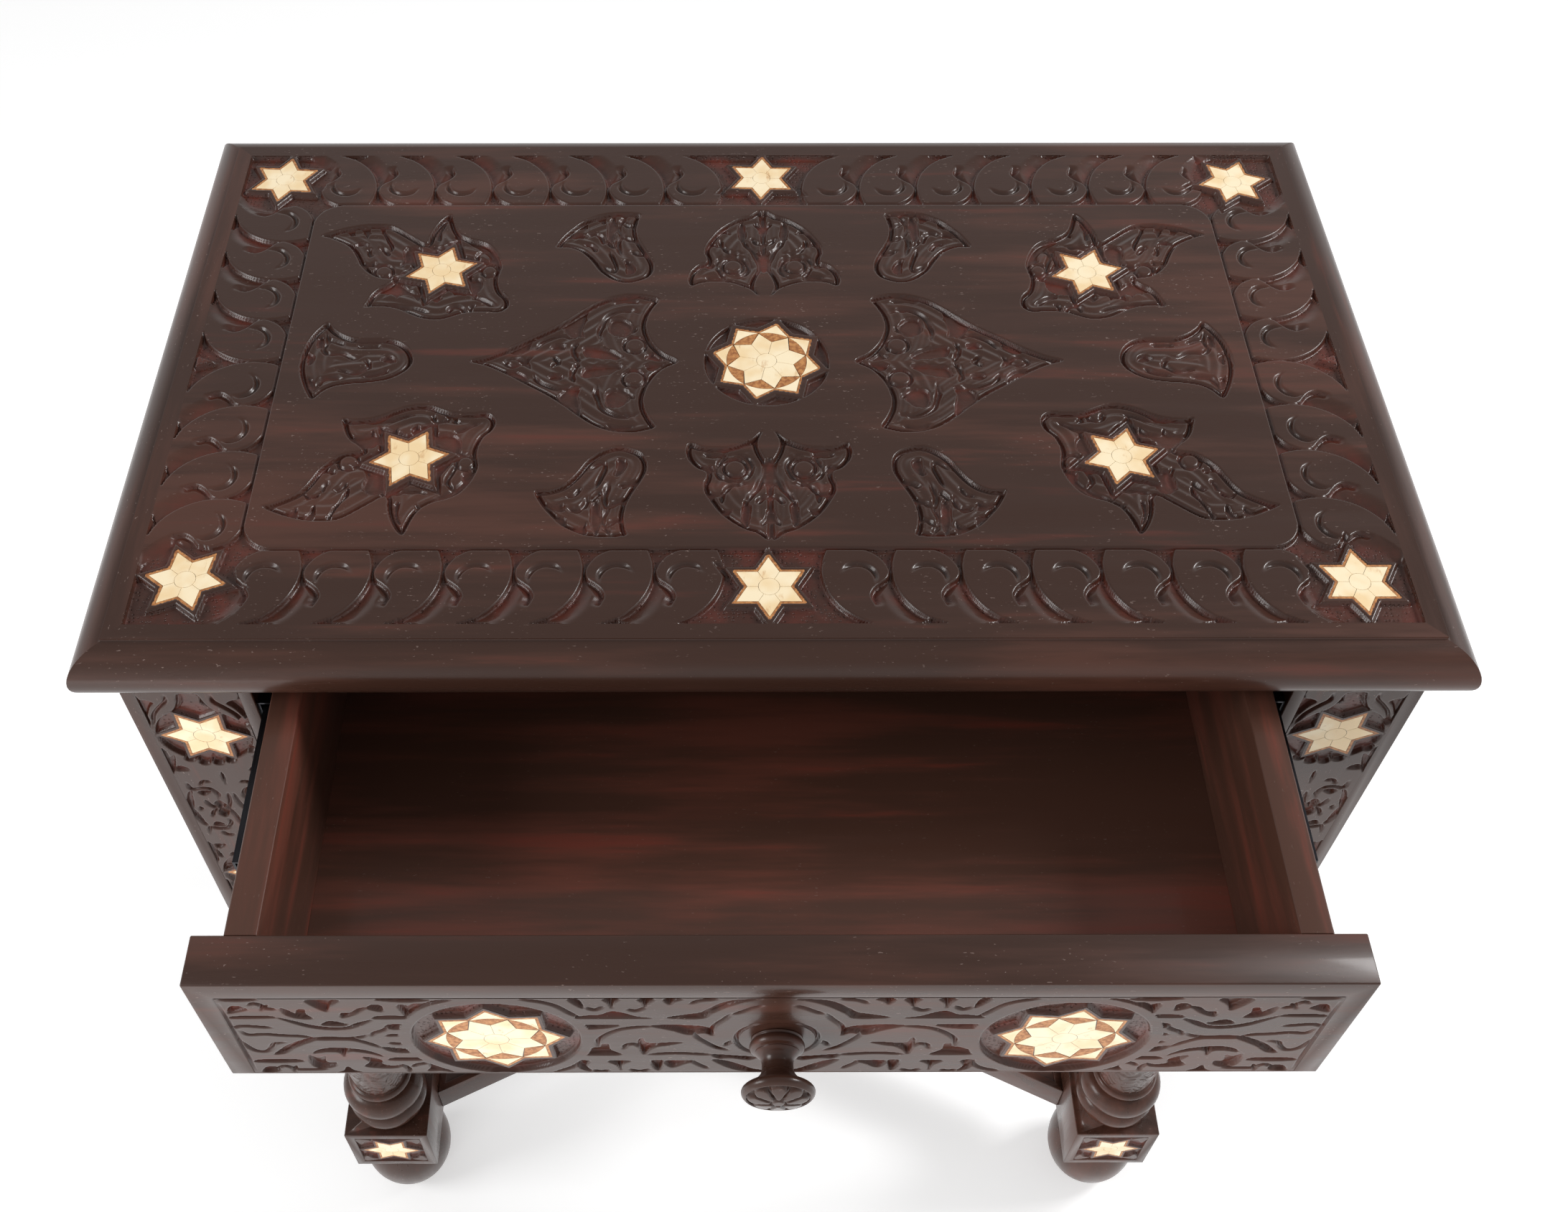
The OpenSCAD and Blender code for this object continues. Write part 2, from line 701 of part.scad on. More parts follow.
module cleat_side() color(inner_wood)
    difference() {
        translate([panel_in_x - side_cleat_w, -0.9*inner_y, slab_z - cleat_h])
            cube([side_cleat_w, 1.8*inner_y, cleat_h]);
        for (p = side_screw_spots) cleat_hole(p);
    }
module cleat_right() cleat_side();
module cleat_left() at_left() cleat_side();
module cleat_back() color(inner_wood)
    difference() {
        translate([-back_cleat_half, panel_in_y - cleat_w, slab_z - cleat_h])
            cube([2*back_cleat_half, cleat_w, cleat_h]);
        for (p = back_screw_spots) cleat_hole(p);
    }

// a screw with its head below z = 0 and its shank up
module wood_screw(l, head_r, head_t) {
    translate([0, 0, -head_t]) cylinder(r = head_r, h = head_t);
    translate([0, 0, -head_t/2]) cylinder(r = screw_r, h = l + head_t/2);
}
module top_screws() color(bright_metal)
    for (p = top_screw_spots)
        translate([p[0], p[1], slab_z - cleat_h])
            wood_screw(top_screw_l, screw_head_r, 0.9);

// -------------------------------------------------------------- stretcher

bar_z = foot_h + bar_up;
bar_angle = atan2(inner_y, inner_x);
bar_half = norm([inner_x, inner_y]) + bar_past;

module bar(side, w, z0, h)
    rotate(side*bar_angle) translate([-bar_half, -w/2, z0]) cube([2*bar_half, w, h]);

module leg_blocks()
    for (x = [-1, 1], y = [-1, 1])
        translate([x*leg_x - leg_sq/2, y*leg_y - leg_sq/2, 0])
            cube([leg_sq, leg_sq, block_z]);

// one diagonal; the crossing loses the half from lap_z up or down
module stretcher_bar(side, lap_z)
    difference() {
        bar(side, bar_w, bar_z, bar_h);
        leg_blocks();
        bar(-side, bar_w, lap_z, bar_h/2 + past);
        intersection() {
            bar(side, bar_w - 2*channel_margin, bar_z + bar_h - channel_depth, 10);
            translate([-inner_x + channel_margin, -leg_y, 0])
                cube([2*(inner_x - channel_margin), 2*leg_y, table_h]);
        }
    }
module stretcher_lower() color(wood)
    stretcher_bar(1, bar_z + bar_h/2);
module stretcher_upper() color(wood)
    stretcher_bar(-1, bar_z - past);

// ----------------------------------------------------------------- drawer

// tails of the right side, as a flat shape: x outwards along -Y, y up
module tails_2d()
    for (i = [0:tails - 1]) translate([0, (i + 0.5)*tail_pitch])
        polygon([[0, -tail_half], [tail_l, -tail_half - tail_flare],
            [tail_l, tail_half + tail_flare], [0, tail_half]]);

module tails_right()
    translate([box_in_x, front_back_y, box_bottom])
        rotate([90, 0, 90]) linear_extrude(side_t) mirror([1, 0]) tails_2d();

module bottom_groove(play)
    translate([-box_in_x - groove, front_back_y - groove, bottom_z])
        cube([2*(box_in_x + groove), box_l + groove + play, bottom_t]);

module drawer_side() color(inner_wood)
    difference() {
        union() {
            translate([box_in_x, front_back_y, box_bottom]) cube([side_t, box_l, box_h]);
            tails_right();
        }
        translate([0, -tail_l, 0]) bottom_groove(tail_l + past);
        translate([box_in_x - past, box_end_y - back_t, bottom_z + bottom_t])
            cube([housing + past, back_t + past, box_h]);
        for (y = member_screw_at)
            translate([box_x + past, front_back_y + y, slide_z]) rotate([0, -90, 0])
                cylinder(r = screw_r + hole_play, h = member_screw_l + 2*past);
    }
module drawer_side_right() drawer_side();
module drawer_side_left() at_left() drawer_side();

module drawer_back() color(inner_wood)
    difference() {
        translate([-box_in_x - housing, box_end_y - back_t, bottom_z + bottom_t])
            cube([2*(box_in_x + housing), back_t, box_h - bottom_up - bottom_t]);
        for (x = bottom_screw_x) bottom_screw_hole(x);
    }

bottom_screw_x = [-0.7*box_in_x, 0, 0.7*box_in_x];
bottom_screw_l = 22;
module bottom_screw_hole(x)
    translate([x, box_end_y - back_t/2, bottom_z - past])
        cylinder(r = screw_r + hole_play, h = bottom_screw_l + 2*past);

module drawer_bottom() color(inner_wood)
    difference() {
        bottom_groove(0);
        for (x = bottom_screw_x) bottom_screw_hole(x);
    }
module drawer_bottom_screws() color(bright_metal)
    for (x = bottom_screw_x)
        translate([x, box_end_y - back_t/2, bottom_z])
            wood_screw(bottom_screw_l, screw_head_r, 2);

front_carve_w = front_w/2 - front_end_margin;
module drawer_front() color(wood)
    difference() {
        translate([-front_w/2, front_face_y, front_bottom])
            cube([front_w, front_t, front_h]);
        difference() {
            translate([-front_carve_w, front_face_y - past, front_bottom + front_lip])
                cube([2*front_carve_w, carve_depth + past,
                    front_h - front_lip - front_top_margin]);
            at_drawer_stars() eight_island(front_star_r, carve_depth, island_w);
            on_front(0, front_face_y, front_star_z) translate([0, 0, -carve_depth - past])
                cylinder(r = collar_r + knob_seat, h = carve_depth + 3*past);
        }
        at_drawer_stars() eight_pocket(front_star_r);
        tails_right();
        at_left() tails_right();
        bottom_groove(0);
        translate([0, front_back_y + past, front_star_z]) rotate([90, 0, 0])
            cylinder(r = screw_r + hole_play, h = front_t + 2*past);
    }

// ------------------------------------------------------------------- knob

knob_seat = 5;           // flat ring left standing round the collar
knob_bore_l = 16;
knob_rim = 3.2;          // half thickness of the rim of the head
head_z = knob_l - 6;     // height of the widest place of the head
knob_section = concat(
    [[0, 0], [collar_r - 1.5, 0], [collar_r - 1.5, 1.5]],
    arc_points(collar_r - 2.5, 4, 2.5, 2.5, -90, 90),
    [[collar_r - 2.5, 7.2], [collar_r - 3.5, 8.5]],
    [for (i = [1:6]) let (t = i/6)
        [knob_neck_r + (collar_r - 3.5 - knob_neck_r)*pow(1 - t, 2), 8.5 + 5.5*t]],
    [for (i = [1:6]) let (t = i/6)
        [knob_neck_r + (knob_r - 4 - knob_neck_r)*pow(t, 2.4),
            14 + (head_z - knob_rim - 14)*t]],
    arc_points(knob_r - knob_rim, head_z, knob_rim, knob_rim, -60, 90),
    [for (i = [1:5]) let (t = i/5)
        [(knob_r - knob_rim)*(1 - t), head_z + knob_rim
            + (knob_l - head_z - knob_rim)*(1 - pow(1 - t, 2))]]);

module knob() color(wood)
    on_front(0, front_face_y, front_star_z)
        difference() {
            rotate_extrude() polygon(knob_section);
            translate([0, 0, -past]) cylinder(r = screw_r + hole_play, h = knob_bore_l + past);
        }

knob_screw_grip = 14;
module knob_screw() color(bright_metal)
    on_front(0, front_back_y, front_star_z)
        wood_screw(front_t + knob_screw_grip, 4.5, 2.4);

// ----------------------------------------------------------------- slides

// C-shaped section at the right leg: x is inwards from the leg, y is up
module channel(web0, flange1, half)
    difference() {
        translate([web0, -half]) square([flange1 - web0, 2*half]);
        translate([web0 + sheet, -half + sheet]) square([flange1, 2*(half - sheet)]);
    }
module slide_length(y0, l)
    translate([inner_x, y0, slide_z]) rotate([90, 0, 0]) mirror([1, 0, 0])
        translate([0, 0, -l]) linear_extrude(l) children();

module slide_hole(u, y)
    translate([inner_x - u + 3*past, y, slide_z]) rotate([0, -90, 0])
        cylinder(r = screw_r + hole_play, h = 6*past);

module slide_case() color(black_metal)
    difference() {
        slide_length(case_front_y, slide_l) channel(0, case_flange, slide_half);
        for (y = slide_screw_y) slide_hole(0, y);
    }
module slide_middle() color(black_metal)
    slide_length(middle_front_y, slide_l) channel(middle_web, middle_flange, middle_half);
module slide_drawer() color(black_metal)
    difference() {
        slide_length(front_back_y + member_clear, box_l - 2*member_clear)
            translate([slide_gap, 0]) mirror([1, 0])
                channel(0, slide_gap - inner_flange, inner_half);
        for (y = member_screw_at) slide_hole(slide_gap, front_back_y + y);
    }
module slide_case_right() slide_case();
module slide_case_left() at_left() slide_case();
module slide_middle_right() slide_middle();
module slide_middle_left() at_left() slide_middle();
module slide_drawer_right() slide_drawer();
module slide_drawer_left() at_left() slide_drawer();

// a row of balls in its cage, starting at y0
module ball_row(u, z, y0) translate([inner_x - u, y0, slide_z + z]) {
    translate([-cage_w/2, 0, -cage_t/2]) cube([cage_w, row_l, cage_t]);
    for (i = [0:balls - 1]) translate([0, ball_d + i*ball_pitch, 0]) sphere(d = ball_d);
}
module slide_balls() color(bright_metal)
    for (side = [-1, 1]) {
        ball_row(outer_ball_u, side*(middle_half + race/2),
            middle_front_y + slide_l - row_clear - row_l);
        ball_row(inner_ball_u, side*(inner_half + race/2), middle_front_y + row_clear);
    }
module slide_balls_right() slide_balls();
module slide_balls_left() at_left() slide_balls();

module case_screw_set()
    for (y = slide_screw_y)
        translate([inner_x - sheet, y, slide_z]) rotate([0, 90, 0])
            wood_screw(slide_screw_l + sheet, slide_head_r, slide_head_t);
module case_slide_screws() color(bright_metal) {
    case_screw_set();
    at_left() case_screw_set();
}
module member_screw_set()
    for (y = member_screw_at)
        translate([box_x + sheet, front_back_y + y, slide_z]) rotate([0, -90, 0])
            wood_screw(member_screw_l + sheet, slide_head_r, slide_head_t);
module drawer_slide_screws() color(bright_metal) {
    member_screw_set();
    at_left() member_screw_set();
}

// ------------------------------------------------------------------ nodes

place() top_panel();
place() edge_front();
place() edge_back();
place() edge_left();
place() edge_right();
place() leg_front_left();
place() leg_front_right();
place() leg_back_left();
place() leg_back_right();
place() foot_front_left();
place() foot_front_right();
place() foot_back_left();
place() foot_back_right();
place() side_panel_left();
place() side_panel_right();
place() back_panel();
place() front_apron();
place() runner_left();
place() runner_right();
place() cleat_left();
place() cleat_right();
place() cleat_back();
place() top_screws();
place() stretcher_lower();
place() stretcher_upper();
place() drawer_front();
place() drawer_side_left();
place() drawer_side_right();
place() drawer_back();
place() drawer_bottom();
place() drawer_bottom_screws();
place() knob();
place() knob_screw();
place() slide_case_left();
place() slide_case_right();
place() slide_middle_left();
place() slide_middle_right();
place() slide_drawer_left();
place() slide_drawer_right();
place() slide_balls_left();
place() slide_balls_right();
place() case_slide_screws();
place() drawer_slide_screws();
place() border_star_bone();
place() border_star_edging();
place() field_star_bone();
place() field_star_edging();
place() centre_star_bone();
place() centre_star_edging();
place() stile_star_bone();
place() stile_star_edging();
place() block_star_bone();
place() block_star_edging();
place() drawer_star_bone();
place() drawer_star_edging();
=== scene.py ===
# %% [markdown]
# # A carved side table with a drawer and stars of bone
#
# The table stands open with its drawer out. The solid parts come from the
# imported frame; this lesson adds what a carver, an inlayer and a polisher did
# to them. Each step first says what the piece is on the real table, how it
# could be made in Blender, and why this way was taken.

# %% Tools and the fixed frame
import math

import bmesh
import bpy
import numpy as np
from mathutils import Matrix, Vector


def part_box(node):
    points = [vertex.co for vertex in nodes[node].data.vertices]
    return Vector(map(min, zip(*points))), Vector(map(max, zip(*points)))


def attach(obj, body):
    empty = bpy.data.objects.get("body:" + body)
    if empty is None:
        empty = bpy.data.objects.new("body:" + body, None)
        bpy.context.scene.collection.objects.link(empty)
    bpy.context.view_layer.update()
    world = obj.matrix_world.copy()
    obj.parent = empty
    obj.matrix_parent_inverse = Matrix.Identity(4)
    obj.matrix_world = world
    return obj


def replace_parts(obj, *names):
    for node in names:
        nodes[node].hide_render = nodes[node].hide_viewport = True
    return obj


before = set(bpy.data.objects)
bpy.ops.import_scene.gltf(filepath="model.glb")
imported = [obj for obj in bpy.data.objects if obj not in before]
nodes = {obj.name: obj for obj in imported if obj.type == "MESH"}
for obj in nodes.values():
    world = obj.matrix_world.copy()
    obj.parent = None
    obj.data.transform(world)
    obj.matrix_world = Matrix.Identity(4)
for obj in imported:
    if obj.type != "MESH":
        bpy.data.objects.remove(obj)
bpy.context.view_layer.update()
MM = 0.001
print("solids of the frame:", len(nodes))

# %% [markdown]
# ## Where things are
#
# Everything below is drawn in millimetres about the middle of the top, with
# the front towards -Y, as a carver would set out the work from centre lines.
# The frame itself stands a little further back, because its origin lies
# under the middle of the open table, so one shift carries the drawings over.

# %% Sizes read from the frame
panel_low, panel_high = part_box("top_panel")
BOARD_X = (panel_high.x - panel_low.x) / 2 / MM
BOARD_Y = (panel_high.y - panel_low.y) / 2 / MM
TOP_Z = panel_high.z / MM
SLAB_Z = panel_low.z / MM
SHIFT = (panel_high.y + panel_low.y) / 2
IN_FRAME = Matrix.Translation((0, SHIFT, 0)) @ Matrix.Scale(MM, 4)
print("top board, half sizes:", round(BOARD_X, 2), round(BOARD_Y, 2))
print("top at", round(TOP_Z, 2), "mm, moved back by", round(SHIFT / MM, 2))


def box_mm(node):
    """Corners of a solid in the carver's millimetres."""
    low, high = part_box(node)
    move = Vector((0, SHIFT, 0))
    return (low - move) / MM, (high - move) / MM


# %% [markdown]
# ## Shader maths in plain words
#
# A finish is a net of nodes, and so is the light of a room. Wiring one by hand
# hides the idea, so a small class wraps a socket and lets Python's own signs
# add the Math nodes. Any other node comes from one method that is told its
# kind, its settings and what goes into its sockets.

# %% A socket that can be reckoned with
class Wire:
    def __init__(self, net, socket):
        self.net = net
        self.socket = socket

    def reckon(self, operation, other):
        return self.net.add("ShaderNodeMath", {"operation": operation},
                            {0: self, 1: other})

    def __add__(self, other):
        return self.reckon("ADD", other)

    def __mul__(self, other):
        return self.reckon("MULTIPLY", other)

    def __sub__(self, other):
        return self.reckon("SUBTRACT", other)

    def between(self, start, end, low=0.0, high=1.0):
        """Rises softly from low to high as the value goes from start to end."""
        settings = {"interpolation_type": "SMOOTHSTEP", "clamp": True}
        sockets = {"Value": self, "From Min": start, "From Max": end,
                   "To Min": low, "To Max": high}
        return self.net.add("ShaderNodeMapRange", settings, sockets)


# %% A net and its one way to add a node
class Net:
    def __init__(self, tree):
        self.tree = tree

    def add(self, kind, settings=None, sockets=None, output=0):
        node = self.tree.nodes.new(kind)
        for key, value in (settings or {}).items():
            setattr(node, key, value)
        for key, value in (sockets or {}).items():
            self.put(node.inputs[key], value)
        return Wire(self, node.outputs[output])

    def put(self, target, value):
        if isinstance(value, Wire):
            self.tree.links.new(value.socket, target)
        else:
            target.default_value = value


# %% The net of one finish
class Finish(Net):
    def __init__(self, name):
        self.material = bpy.data.materials.new(name)
        self.material.use_nodes = True
        super().__init__(self.material.node_tree)
        self.shader = self.tree.nodes["Principled BSDF"]
        self.place = self.add("ShaderNodeTexCoord", output="Object")

    def set(self, **sockets):
        for key, value in sockets.items():
            self.put(self.shader.inputs[key.replace("_", " ")], value)

    def stretched(self, scale):
        """Coordinates with their own scale along X, Y and Z."""
        return self.add("ShaderNodeMapping", {"vector_type": "POINT"},
                        {"Vector": self.place, "Scale": scale})

    def noise(self, vector, scale, detail, roughness=0.5):
        return self.add("ShaderNodeTexNoise", {},
                        {"Vector": vector, "Scale": scale, "Detail": detail,
                         "Roughness": roughness}, "Fac")

    def mix(self, share, first, second):
        return self.add("ShaderNodeMix", {"data_type": "RGBA"},
                        {"Factor": share, 6: first, 7: second}, 2)

    def attribute(self, name):
        return self.add("ShaderNodeAttribute", {"attribute_name": name}, {}, "Fac")

    def bump(self, height, distance, strength):
        return self.add("ShaderNodeBump", {},
                        {"Height": height, "Distance": distance,
                         "Strength": strength}, "Normal")


def paint(red, green, blue):
    """A colour read off a screen, from 0 to 255, as the light it stands for."""
    steps = [value / 255 for value in (red, green, blue)]
    light = [v / 12.92 if v <= 0.04045 else ((v + 0.055) / 1.055) ** 2.4
             for v in steps]
    return (*light, 1.0)


# %% [markdown]
# ## The stained wood
#
# The wood is stained almost black and polished, and it still lets the red of
# the timber through in long streaks. Pores show as fine pale dashes along
# the grain, and the sunk ground of the carving is redder, because the polish
# doesn't reach it. The grain follows each piece's own length, so each wood
# is made three times, with its long axis along X, Y or Z. The drawer's
# inside is paler than the rest.

# %% Stained and polished wood
PORE = paint(150, 130, 122)
PUNCHES_PER_M = 430.0
LONG = {"x": (0.09, 1.0, 1.0), "y": (1.0, 0.09, 1.0), "z": (1.0, 1.0, 0.09)}


def stained_wood(name, along, dark, warm, red, gloss=0.3, pores=1.0):
    wood = Finish(name)
    mild = wood.stretched([0.4 if v < 1 else 1 for v in LONG[along]])
    cloud = wood.noise(mild, 9, 2)
    streak = wood.noise(wood.stretched(LONG[along]), 70, 4, 0.6)
    fine = wood.noise(mild, 900, 2)
    warmth = (cloud * 0.55 + streak * 0.45).between(0.46, 0.62)
    tone = wood.mix(warmth, dark, warm)
    tone = wood.mix(streak.between(0.58, 0.74, 0.0, 0.3), tone, red)
    sunk = wood.attribute("sunk")
    patch = wood.noise(wood.place, 55, 3, 0.6).between(0.4, 0.7, 0.1, 0.55)
    tone = wood.mix(sunk * patch, tone, red)
    open_grain = wood.noise(wood.place, 30, 1).between(0.45, 0.6)
    pore = fine.between(0.685, 0.73) * open_grain * pores
    tone = wood.mix(pore * 0.4, tone, PORE)
    dots = wood.add("ShaderNodeTexVoronoi", {"feature": "F1"},
                    {"Vector": wood.place, "Scale": PUNCHES_PER_M,
                     "Randomness": 0.55}, "Distance")
    dent_and_shade = dots.between(0.12, 0.34, 1.0, 0.0) * wood.attribute("punched")
    # painted shade: the punched dots are darkened in colour, as well as dented by the
    # bump
    tone = wood.mix(dent_and_shade * 0.35, tone, dark)
    chatter = wood.noise(wood.place, 260, 2).between(0.3, 0.7)
    relief = (fine * 0.25 + streak * 0.35 - pore * 0.6 - dent_and_shade * 9.0
              + sunk * chatter * 1.6)
    shine = streak.between(0.3, 0.7, gloss - 0.05, gloss + 0.09)
    wood.set(Base_Color=tone, Roughness=shine + sunk * 0.04, Coat_Weight=0.2,
             Coat_Roughness=0.1, Specular_IOR_Level=0.3,
             Normal=wood.bump(relief, 0.00012, 0.6))
    return wood.material


DARK = paint(58, 37, 29)
WARM = paint(78, 48, 38)
RED = paint(106, 44, 34)
carved = {axis: stained_wood(f"carved_wood_{axis}", axis, DARK, WARM, RED)
          for axis in "xyz"}
inside = {axis: stained_wood(f"inside_wood_{axis}", axis, paint(78, 51, 41),
                             paint(106, 60, 48), paint(136, 52, 40), 0.34, 0.5)
          for axis in "xyz"}
print("wood finishes:", len(carved) + len(inside))

# %% [markdown]
# ## Bone, edging and metal
#
# The stars are slips of bone, cream with faint brown streaks and tiny
# cracks, in an edging of light brown wood. The slides are black steel, with
# bright steel screws and balls. None of them is one flat colour: bone has
# its grain, the edging its streaks and steel its brushed haze.

# %% Bone
bone = Finish("bone")
bone_grain = bone.noise(bone.stretched((1.0, 0.35, 1.0)), 240, 4, 0.6)
bone_cloud = bone.noise(bone.place, 60, 2)
bone_tone = bone.mix(bone_cloud.between(0.38, 0.66), paint(252, 234, 198),
                     paint(243, 214, 166))
bone_tone = bone.mix(bone_grain.between(0.6, 0.76, 0.0, 0.7), bone_tone,
                     paint(205, 158, 104))
bone.set(Base_Color=bone_tone, Roughness=bone_grain.between(0.3, 0.7, 0.3, 0.42),
         Coat_Weight=0.3, Coat_Roughness=0.2,
         Normal=bone.bump(bone_grain, 0.00006, 0.5))

# %% Brown edging
edging = Finish("edging_wood")
edging_grain = edging.noise(edging.place, 420, 3, 0.6)
edging_tone = edging.mix(edging_grain.between(0.35, 0.65), paint(196, 136, 80),
                         paint(150, 92, 48))
edging.set(Base_Color=edging_tone,
           Roughness=edging_grain.between(0.3, 0.7, 0.38, 0.5),
           Normal=edging.bump(edging_grain, 0.00006, 0.5))

# %% Black and bright steel
def steel(name, first, second, rough):
    metal = Finish(name)
    haze = metal.noise(metal.stretched((4.0, 0.3, 4.0)), 220, 3, 0.6)
    metal.set(Base_Color=metal.mix(haze, first, second), Metallic=0.9,
              Roughness=haze.between(0.3, 0.7, rough, rough + 0.12),
              Normal=metal.bump(haze, 0.00003, 0.5))
    return metal.material


black_steel = steel("black_steel", paint(38, 38, 42), paint(62, 62, 66), 0.3)
bright_steel = steel("bright_steel", paint(176, 178, 182),
                     paint(206, 208, 210), 0.22)
print("bone, edging and two steels are ready")

# %% [markdown]
# ## Drawing a carving
#
# The carving is sunk: the carver leaves the face of the board and cuts the
# ground away round the figures. It could be cut with booleans, which leave
# hard unlike walls and break easily, or be faked with a bump, which looks
# flat from low down. Here each carved face is a fine grid whose points are
# lowered by a formula, so every wall, vein and rounded leaf is real. The
# formulas need four words: a soft step, a curve drawn through a few points,
# the distance to that curve, and whether a point lies inside it.

# %% Soft steps and curves through a few points
def soft(value):
    value = np.clip(value, 0.0, 1.0)
    return value * value * (3.0 - 2.0 * value)


def curve_through(points, closed=False, steps=5):
    points = np.array(points, float)
    if closed:
        ring = [np.roll(points, shift, 0) for shift in (1, 0, -1, -2)]
    else:
        first = 2 * points[:1] - points[1:2]
        last = 2 * points[-1:] - points[-2:-1]
        padded = np.vstack([first, points, last])
        ring = [padded[:-3], padded[1:-2], padded[2:-1], padded[3:]]
    before, here, after, beyond = ring
    runs = []
    for s in np.arange(steps) / steps:
        bend = 2 * before - 5 * here + 4 * after - beyond
        twist = 3 * here - before - 3 * after + beyond
        runs.append(here + 0.5 * ((after - before) * s + bend * s**2 + twist * s**3))
    line = np.stack(runs, 1).reshape(-1, 2)
    return line if closed else np.vstack([line, points[-1:]])


# %% Distance to a curve, and the share of its length reached there
def distance_to(x, y, line, closed=False):
    ends = np.roll(line, -1, 0) if closed else line[1:]
    starts = line if closed else line[:-1]
    lengths = np.maximum(np.hypot(*(ends - starts).T), 1e-6)
    reached = np.concatenate([[0], np.cumsum(lengths)[:-1]])
    nearest = np.full(x.shape, 1e9)
    share = np.zeros(x.shape)
    for start, end, length, done in zip(starts, ends, lengths, reached):
        step = (end - start) / length
        along = np.clip((x - start[0]) * step[0] + (y - start[1]) * step[1], 0, length)
        gap = np.hypot(x - start[0] - along * step[0], y - start[1] - along * step[1])
        closer = gap < nearest
        nearest[closer] = gap[closer]
        share[closer] = (done + along[closer]) / lengths.sum()
    return nearest, share


def inside_of(x, y, line):
    inside = np.zeros(x.shape, bool)
    for (x0, y0), (x1, y1) in zip(line, np.roll(line, -1, 0)):
        if y0 != y1:
            crosses = (y0 > y) != (y1 > y)
            inside ^= crosses & (x < (x1 - x0) * (y - y0) / (y1 - y0) + x0)
    return inside


def depth_inside(x, y, line):
    gap, _ = distance_to(x, y, line, closed=True)
    return np.where(inside_of(x, y, line), gap, -gap)


# %% Distance inside a star with straight sides
def star_depth(x, y, star):
    across, up, tip, points, turn = star
    sector = math.pi / points
    notch = tip / math.sqrt(3)
    if points == 8:
        notch = tip * math.cos(math.pi / 4) / math.cos(sector)
    angle = np.arctan2(y - up, x - across) - math.radians(turn)
    radius = np.hypot(x - across, y - up)
    angle = np.abs((angle + sector) % (2 * sector) - sector)
    side = np.array([notch * math.cos(sector) - tip, notch * math.sin(sector)])
    side /= np.hypot(*side)
    return radius * np.sin(angle) * side[0] - (radius * np.cos(angle) - tip) * side[1]


# %% [markdown]
# ## One carved face as a sheet of heights
#
# A class holds the points of one face with four values at each: its height,
# which is zero at the board's face and negative below it, how much of it is
# sunk ground, whether that ground is punched with dots, and whether it was
# worked at all. Its methods are the carver's cuts: a vein, a pocket, and wood
# left standing round a star.

# %% Going deeper, and marking more, in one part of a sheet
def deepen(values, here, to):
    values[here] = np.minimum(values[here], to)


def mark(values, here, to):
    values[here] = np.maximum(values[here], to)


# %% The carver's sheet
VEIN_FLOOR, MOAT_FLOOR = -3.1, -2.9
SHY = -0.15           # wood round the stars of the fronts, just under the face


class Carving:
    def __init__(self, x, y):
        self.x, self.y = x, y
        self.height = np.zeros(x.shape)
        self.sunk = np.zeros(x.shape)
        self.punched = np.zeros(x.shape)
        self.worked = np.zeros(x.shape)

    def near(self, line, margin):
        low, high = line.min(0) - margin, line.max(0) + margin
        return ((self.x > low[0]) & (self.x < high[0])
                & (self.y > low[1]) & (self.y < high[1]))

    def vein(self, points, depth, width):
        """A V-shaped cut along a curve, fading at both ends."""
        line = curve_through(points)
        here = self.near(line, width)
        if not here.any():
            return
        gap, share = distance_to(self.x[here], self.y[here], line)
        ends = soft(np.minimum(share, 1 - share) / 0.25 + 0.2)
        cut = depth * ends * soft(1 - gap / (0.5 * width * (0.5 + 0.5 * ends)))
        self.height[here] = np.maximum(self.height[here] - cut, VEIN_FLOOR)
        mark(self.sunk, here, 0.6 * cut / depth)

    def pocket(self, points, depth, wall, punched=0.0):
        """Flat sunk ground inside an outline."""
        line = curve_through(points, True)
        here = self.near(line, 1)
        if not here.any():
            return
        d = depth_inside(self.x[here], self.y[here], line)
        cut = soft(d / wall)
        deepen(self.height, here, -depth * cut)
        mark(self.sunk, here, cut)
        mark(self.punched, here, punched * soft(d - 0.6))

    def star(self, star, island, slope, face, pocket=None, moat=0.0):
        """Leaves wood standing round a star, and sinks what lies under it."""
        reach = star[2] + island + moat + 8
        here = np.hypot(self.x - star[0], self.y - star[1]) < reach
        if not here.any():
            return
        d = star_depth(self.x[here], self.y[here], star)
        if moat:
            ditch = soft((d + island + moat) / 2) * self.worked[here]
            deepen(self.height, here, MOAT_FLOOR * ditch)
            mark(self.sunk, here, ditch)
        raised = soft((d + island + slope) / slope)
        for sheet in (self.height, self.sunk, self.punched):
            sheet[here] = sheet[here] * (1 - raised)
        self.height[here] += face * raised
        if pocket is not None:
            self.height[here] = np.where(d > 0.5, pocket, self.height[here])


# %% [markdown]
# ## From a sheet of heights to a block of wood
#
# Each carved face becomes a thin closed block: a grid from bmesh, its rim
# extruded down and filled, and then its upper points lowered by the sheet.
# The block is turned to its place afterwards, in the mesh, so the object
# itself stays at the origin. The rim is marked sharp, so that the
# upright sides don't tilt the light on the carved face.

# %% From a bmesh to a mesh, and from a mesh to a piece on its body
def mesh_from(name, bm, smooth=True):
    mesh = bpy.data.meshes.new(name)
    bm.to_mesh(mesh)
    bm.free()
    mesh.polygons.foreach_set("use_smooth", [smooth] * len(mesh.polygons))
    return mesh


def new_object(name, data):
    item = bpy.data.objects.new(name, data)
    bpy.context.scene.collection.objects.link(item)
    return item


def add_piece(mesh, body, finish):
    mesh.materials.append(finish)
    piece = new_object(mesh.name, mesh)
    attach(piece, body)
    return piece


